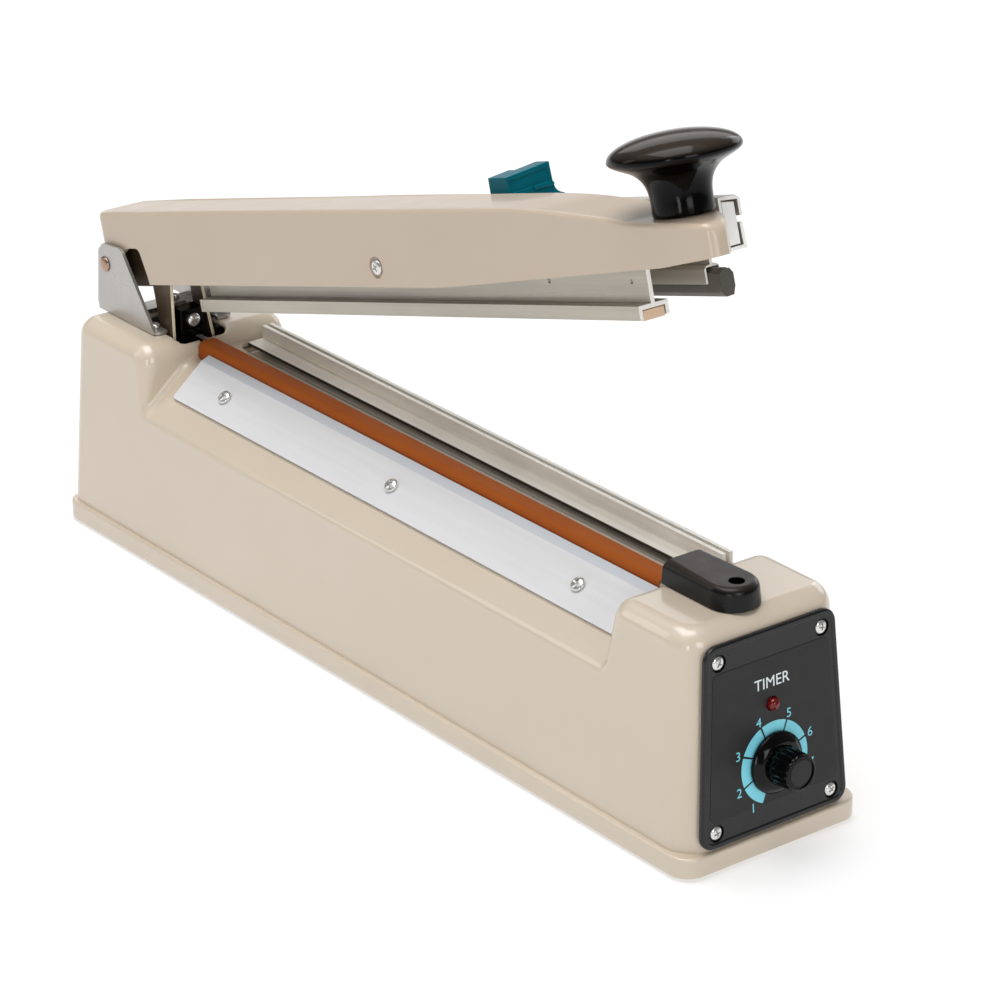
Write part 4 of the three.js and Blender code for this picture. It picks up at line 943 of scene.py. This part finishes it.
def make_clamp_plate():
    rear, front, foot, fold, lip, thick, rise = 71, 377.5, 14.6, 30.2, 34.3, 1.0, 0.42
    fold_z = plate_z(fold)
    lip_z = fold_z + (lip - fold) * rise
    low = thick * sin(BEVEL_ANGLE), -thick * cos(BEVEL_ANGLE)
    high = thick * sin(atan(rise)), -thick * cos(atan(rise))
    middle = (low[0] + high[0]) / 2, (low[1] + high[1]) / 2
    outline = [(foot, plate_z(foot)), (foot + low[0], plate_z(foot) + low[1]),
               (fold + middle[0], fold_z + middle[1]), (lip, lip_z + high[1] * 1.1),
               (lip, lip_z), (fold, fold_z)]
    corner, run = 1.8, hypot(1, BEVEL_SLOPE)
    tools = []
    for x, sense in ((rear, 1), (front, -1)):
        curve = oval(x + sense * corner, foot + corner / run, corner, corner / run,
                     180 if sense > 0 else 0, 270, 8)
        outside = x - sense * 2
        shape = [(outside, foot - 2), (outside, curve[0][1]), *curve, (curve[-1][0], foot - 2)]
        tools.append(prism(shape, "z", 60, 100))
    for x in CLAMP_SCREW_X:
        hole = rod("z", (0, 0), 1.9, -6, 6)
        seat = Matrix.Translation((x, CLAMP_SCREW_Y, plate_z(CLAMP_SCREW_Y)))
        seat = seat @ Matrix.Rotation(BEVEL_ANGLE, 4, "X")
        bmesh.ops.transform(hole, verts=hole.verts, matrix=seat)
        tools.append(hole)
    plate = soften(boolean(prism(outline, "x", rear, front), tools), 0.25, 2, 20)
    piece("clamp_plate_sheet", plate, BASE, "base", "plate_steel", ["clamp_plate"], smooth=9)


# ---- Terminal cap ----
def make_cap():
    rear, front, half, top, seat = 383.5, 422.5, 11, 105.5, TOP + 0.3

    def ring(z, inset, rear_half):
        """A round-fronted outline that may be narrower at its rear edge."""
        h = half - inset
        curve = arc(front - inset * 1.4 - h, BED_Y, h, -90, 90, 32)
        points = [(rear, BED_Y - rear_half), *curve, (rear, BED_Y + rear_half)]
        return [(x, y, z) for x, y in points]

    crown, shoulder, draft, narrowing = 3.2, 2.3, 0.5, 4.6
    base = top - crown
    levels = [(seat, 0, half), (base, draft, half - draft)]
    for inward, rise in oval(1, 0, -1, 1, 15, 90, 5):
        levels.append((base + crown * rise, draft + shoulder * inward,
                       half - draft - narrowing * inward))
    outer = loft([ring(*level) for level in levels])
    inner = block(rear + 2, 408, BED_Y - 7.5, BED_Y + 7.5, seat - 1, top - 3.5)
    mouth = block(rear - 1, rear + 4, BED_Y - 4, BED_Y + 4, seat - 1, seat + 3)
    hole = rod("z", CAP_SCREW, 3.1, seat + 3, top + 2, 40)
    shank = rod("z", CAP_SCREW, 1.8, seat - 1, seat + 4)
    cap = soften(boolean(outer, [inner, mouth, hole, shank]), 0.25, 2, 28)
    piece("terminal_cap_cover", cap, BASE, "base", "black_plastic", ["terminal_cap"],
          "cap_black", 30)


# ---- Control panel ----
PANEL_TOP = up_face(90)
PANEL_HALF_LOW = 36.7
PANEL_HALF_HIGH = 32
KNOB_AT = (KNOB_Y, up_face(KNOB_Z))
LAMP_AT = (MID_Y, up_face(LAMP_Z))


def panel_ring(inset, x, low=0.0, high=PANEL_TOP, corner=6.0):
    """The panel's outline, moved inwards; its sides follow the housing's draft."""
    z0, z1 = low + inset, high - inset
    h0, h1 = (PANEL_HALF_LOW + (PANEL_HALF_HIGH - PANEL_HALF_LOW) * z / PANEL_TOP - inset
              for z in (z0, z1))
    points = [(MID_Y - h0, z0), (MID_Y + h0, z0), (MID_Y + h1, z1), (MID_Y - h1, z1)]
    return [(x, y, z) for y, z in rounded(points, max(corner - inset, 0.6), 8)]


def make_panel():
    thick, soft = 2.5, 0.9
    rings = [panel_ring(0.6, 0.3), panel_ring(0, 0.6), panel_ring(0, thick - soft)]
    rings += [panel_ring(*edge) for edge in oval(soft, thick - soft, -soft, soft, 22.5, 90, 3)]
    rings += [panel_ring(1.9, thick), panel_ring(2.15, thick - 0.12), panel_ring(2.5, thick - 0.5)]
    tools = [rod("x", KNOB_AT, 4.2, -5, 9), rod("x", LAMP_AT, 2.9, -5, 9)]
    for y, z in PANEL_SCREWS:
        tools.append(rod("x", (y, up_face(z)), 3.5, 0.6, 9, 40))
        tools.append(rod("x", (y, up_face(z)), 1.9, -5, 9))
    plate = soften(boolean(loft(rings), tools), 0.15, 2, 40)
    piece("panel_plate", plate, FACE, "base", "panel_charcoal", ["control_panel"], "panel_rim", 30)
    film = loft([panel_ring(inset, x, 6.5, PANEL_TOP - 7, 7)
                 for inset, x in ((4.1, 1.9), (4.1, 2.1), (4.25, 2.18))])
    film = boolean(film, [rod("x", KNOB_AT, 4.4, -5, 9), rod("x", LAMP_AT, 2.95, -5, 9)])
    piece("panel_film", film, FACE, "base", "panel_charcoal", smooth=20)


LAST_NUMBER = 7
NUMBER_SHIFT = {1: -14, 7: 7}
PER_CAPITAL = 1.38


def dial_angle(number):
    """Degrees from the face's +Y, anticlockwise as seen from the front, of a mark on the dial."""
    return 249 - (number - 1) * 45.6


def make_dial_print():
    inner, outer, gap, number_radius = 11.6, 16.5, 1.6, 19.3
    bands = []
    for n in range(1, LAST_NUMBER):
        start, end = dial_angle(n) - gap, dial_angle(n + 1) + gap
        ring = arc(*KNOB_AT, outer, start, end, 12) + arc(*KNOB_AT, inner, end, start, 12)
        bands.append(prism(ring[::-1], "x", 2.15, 2.24))
    piece("dial_bands", merged(*bands), FACE, "base", "panel_charcoal", (), "print_cyan", 20)
    for n in range(1, LAST_NUMBER + 1):
        angle = radians(dial_angle(n) + NUMBER_SHIFT.get(n, 0))
        place = Vector(KNOB_AT) + Vector((cos(angle), sin(angle))) * number_radius
        place_text(str(n), f"dial_number_{n}", 3.9 * PER_CAPITAL, place, "print_cyan")
    place_text("TIMER", "dial_word", 4.6 * PER_CAPITAL, (MID_Y, 59.5), "print_white")


def place_text(words, name, size, place, material):
    """Printed letters, a hair proud of the panel film."""
    curve = configured(bpy.data.curves.new(name + "_curve", "FONT"), body=words, size=size,
                       extrude=0.045, align_x="CENTER", align_y="CENTER")
    text = linked(name + "_curve", curve)
    bm = evaluated(text)
    bpy.data.objects.remove(text)
    bpy.data.curves.remove(curve)
    heights = [v.co.y for v in bm.verts]
    y, z = place[0], place[1] - (min(heights) + max(heights)) / 2
    stand = Matrix(((0, 0, 1, 2.2), (1, 0, 0, y), (0, 1, 0, z), (0, 0, 0, 1)))
    bmesh.ops.transform(bm, verts=bm.verts, matrix=stand)
    piece(name, bm, FACE, "base", "panel_charcoal", (), material, 20)


def make_knob():
    centre = (0, *KNOB_AT)
    skirt = [(0, -7), (3, -7), (3, 2.6), (11.9, 2.6), (12.4, 3), (12.4, 4), (12.1, 4.4),
             (10.2, 6.4), (8.6, 6.9), (0, 7.2)]
    flutes, points_per_flute, flute_depth = 18, 8, 0.38
    count = flutes * points_per_flute
    rings = []
    for x, radius, depth in ((5.5, 8.1, 1), (15.6, 7.45, 1), (16.6, 7.35, 0.8), (17.2, 7.0, 0.4),
                             (17.5, 6.5, 0)):
        ring = []
        for angle in (2 * pi * i / count for i in range(count)):
            wave = 0.5 - 0.5 * cos(angle * flutes)
            r = radius - flute_depth * depth * wave ** 1.6
            ring.append((x, centre[1] + r * cos(angle), centre[2] + r * sin(angle)))
        rings.append(ring)
    dish = lathe([(0, 16.9), (5.6, 16.9), (6.0, 17.0), (6.0, 19), (0, 19)], "x", centre, 72)
    knob = merged(lathe(skirt, "x", centre, 72), boolean(loft(rings), [dish]))
    piece("timer_knob_fluted", knob, FACE, "knob", "black_plastic", ["timer_knob"], smooth=38)
    disc = lathe([(0, 16.4), (5.3, 16.4), (5.3, 17.05), (5.1, 17.2), (0, 17.25)], "x", centre, 72)
    piece("timer_knob_disc", disc, FACE, "knob", "black_plastic", (), "panel_charcoal", 38)


def make_lamp():
    dome = oval(0, 2.6, 2.6, 2.5, 9, 81, 8)
    lens = lathe([(0, -8), (2.6, -8), (2.6, 2.6), *dome, (0, 5.1)], "x", (0, *LAMP_AT), 48)
    piece("indicator_lens", lens, FACE, "base", "red_plastic", ["indicator_lamp"], smooth=50)


# ---- Rear fittings, feet and the CAD nodes that keep their own shapes ----
def make_fittings():
    seat = REAR_STEP + (FITTING_Z - FLANGE) * SIDE_DRAFT - 1.2
    gland = [(3.3, -9), (4.7, -9), (5, -8.7), (6.2, -5), (7.3, -1.4), (7.6, -1), (7.6, seat),
             (6, seat), (6, 9), (3.3, 9), (3.3, -9)]
    fuse = [(0, -6.4), (1.6, -6.4), (1.8, -7), (5.1, -7), (5.6, -6.6), (6.1, -3), (6.5, -2),
            (7.6, -1.8), (8, -1.4), (8, seat), (6.2, seat), (6.2, 14), (5, 14), (5, 32), (0, 32)]
    for name, profile, y, node in (("gland_body", gland, GLAND_Y, "cord_gland"),
                                   ("fuse_carrier", fuse, FUSE_Y, "fuse_holder")):
        fitting = lathe(profile, "x", (0, y, FITTING_Z), 48)
        piece(name, fitting, BASE, "base", "black_plastic", [node])
    foot = [(0, -1.5), (6.6, -1.5), (7, -1.4), (7.3, -1), (7.5, -0.4), (7.5, 0), (2.9, 0),
            (2.9, 2.6), (4.6, 2.6), (3.4, 5), (0, 5)]
    places = [(x, y) for x in (26, LENGTH - 30) for y in (16, WIDTH - 16)]
    for i, place in enumerate(places, 1):
        rubber = lathe(foot, "z", (*place, 0), 40)
        piece(f"rubber_foot_{i}", rubber, BASE, "base", "rubber", [f"foot_{i}"])


def make_strip_end():
    """The film strip's squashed end, flared into an octagon."""
    flared = [(61.9, -19.4), (62.2, -14.2), (63.6, -11.3), (67.4, -11.2), (68.9, -13.4),
              (68.9, -18.6), (67.6, -21.5), (64.2, -21.5)]
    slim = rounded([(62.6, -21.2), (62.4, -11.4), (67.4, -11.2), (67.5, -21.3)], 1.4, 1)
    stations = ((366.5, 0.0), (370.5, 0.25), (373.2, 0.8), (374.2, 1.0), (374.6, 0.94))
    rings = [[(a, y + (v - y) * share, h + (w - h) * share) for (y, h), (v, w) in zip(slim, flared)]
             for a, share in stations]
    piece("film_strip_end", loft(rings), ARM, "arm", "film_grey")


DRESSED = {
    "arm_aluminium_shaded": {"press_bar": 0.25, "track_stop": 0.4, "cutter_track": 0.22,
                      "strip_holder": 0.15},
    "silicone": {"silicone_strip": 0.2, "insulating_tape": 0},
    "film_grey": {"film_strip": 0.25},
    "aluminium": {"cutter_rail": 0.2, "sealing_bed": 0.2},
    "screw_steel": {"heating_element": 0, "handle_screw": 0.2},
    "zinc_plate": {"arm_yoke": 0.25, "spring_bracket": 0.25},
    "chrome_plate": {"cutter_blade": 0},
    "plate_steel": {"bottom_plate": 0.3},
    "core_iron": {"transformer_core": 0.3},
    "coil_wrap": {"transformer_coil": 0.5},
    "board_green": {"timer_board": 0.2},
    "black_plastic": {"rear_terminal": 0.3, "front_terminal": 0.3, "micro_switch": 0.3,
                      "potentiometer": 0.3},
    "red_plastic": {"switch_plunger": 0},
}


def dress_nodes():
    """Materials and edge roundings, in millimetres, of the nodes that keep their CAD shapes."""
    for material, nodes in DRESSED.items():
        for node, width in nodes.items():
            dress(node, material, width, 1 if node == "strip_holder" else 2)


# ---- Stage: floor, light and camera ----
def area_light(name, place, aim_height, width, height, power):
    light = configured(bpy.data.lights.new(name, "AREA"), shape="RECTANGLE", size=width,
                       size_y=height, energy=power)
    towards = Vector((0, 0, aim_height)) - Vector(place)
    configured(linked(name, light), location=place,
               rotation_euler=towards.to_track_quat("-Z", "Y").to_euler())


def make_floor():
    pale = Shader("pale_floor", (0.5, 0.5, 0.5, 1), 0.9, Emission_Strength=0.5)
    pale.set("Emission Color", (1, 1, 1, 1))
    pale.blend_colour(pale.remap(pale.noise(3, 2), 0.0, 0.15), (0.52, 0.52, 0.52, 1))
    mesh = bpy.data.meshes.new("floor")
    size = 22.0
    corners = [(-size, -size, 0), (size, -size, 0), (size, size, 0), (-size, size, 0)]
    mesh.from_pydata(corners, [], [(0, 1, 2, 3)])
    mesh.materials.append(pale.material)
    linked("floor", mesh)


def make_world():
    """Soft light all round, with a backdrop as pale as the floor."""
    world = bpy.data.worlds.new("studio")
    world.use_nodes = True
    tree = world.node_tree
    backdrop = tree.nodes["Background"]
    backdrop.inputs["Color"].default_value = (1, 1, 1, 1)
    seen = tree.nodes.new("ShaderNodeLightPath").outputs["Is Camera Ray"]
    level = tree.nodes.new("ShaderNodeMapRange")
    level.inputs["To Min"].default_value = 0.17
    level.inputs["To Max"].default_value = 0.85
    tree.links.new(seen, level.inputs["Value"])
    tree.links.new(level.outputs["Result"], backdrop.inputs["Strength"])
    bpy.context.scene.world = world


def make_stage():
    bpy.context.scene.view_settings.view_transform = "Standard"
    make_floor()
    make_world()
    for light in (("key_above", (-0.1, -0.2, 1.8), 0.1, 1.6, 1.1, 25),
                  ("fill_front", (1.6, -1.75, 0.45), 0.15, 0.3, 0.8, 5),
                  ("fill_end", (2.0, -0.4, 0.8), 0.15, 0.7, 0.9, 8),
                  ("rim_left", (-1.3, -1.3, 0.9), 0.15, 0.5, 0.9, 2.5),
                  ("sheen_behind", (-1.6, 1.4, 1.1), 0.1, 2.0, 0.9, 6),
                  ("fill_back", (-0.5, 2.0, 0.7), 0.1, 1.2, 0.8, 5)):
        area_light(*light)
    sun = configured(bpy.data.lights.new("sky", "SUN"), energy=0.75, angle=radians(80))
    linked("sky", sun).rotation_euler = (radians(12), radians(-8), 0)
    camera = configured(bpy.data.cameras.new("camera"), lens=135.44, sensor_width=36, clip_end=100)
    bpy.context.scene.camera = configured(
        linked("camera", camera), location=(1.13991, -0.84995, 0.6924),
        rotation_euler=(radians(66.4), 0, radians(52.17)))


for make in (make_housing, make_arm_cover, make_handle, make_cutter_handle, make_screws, make_hinge,
             make_spring, make_ptfe, make_clamp_plate, make_cap, make_panel, make_dial_print,
             make_knob, make_lamp, make_fittings, make_strip_end, dress_nodes, make_stage):
    make()
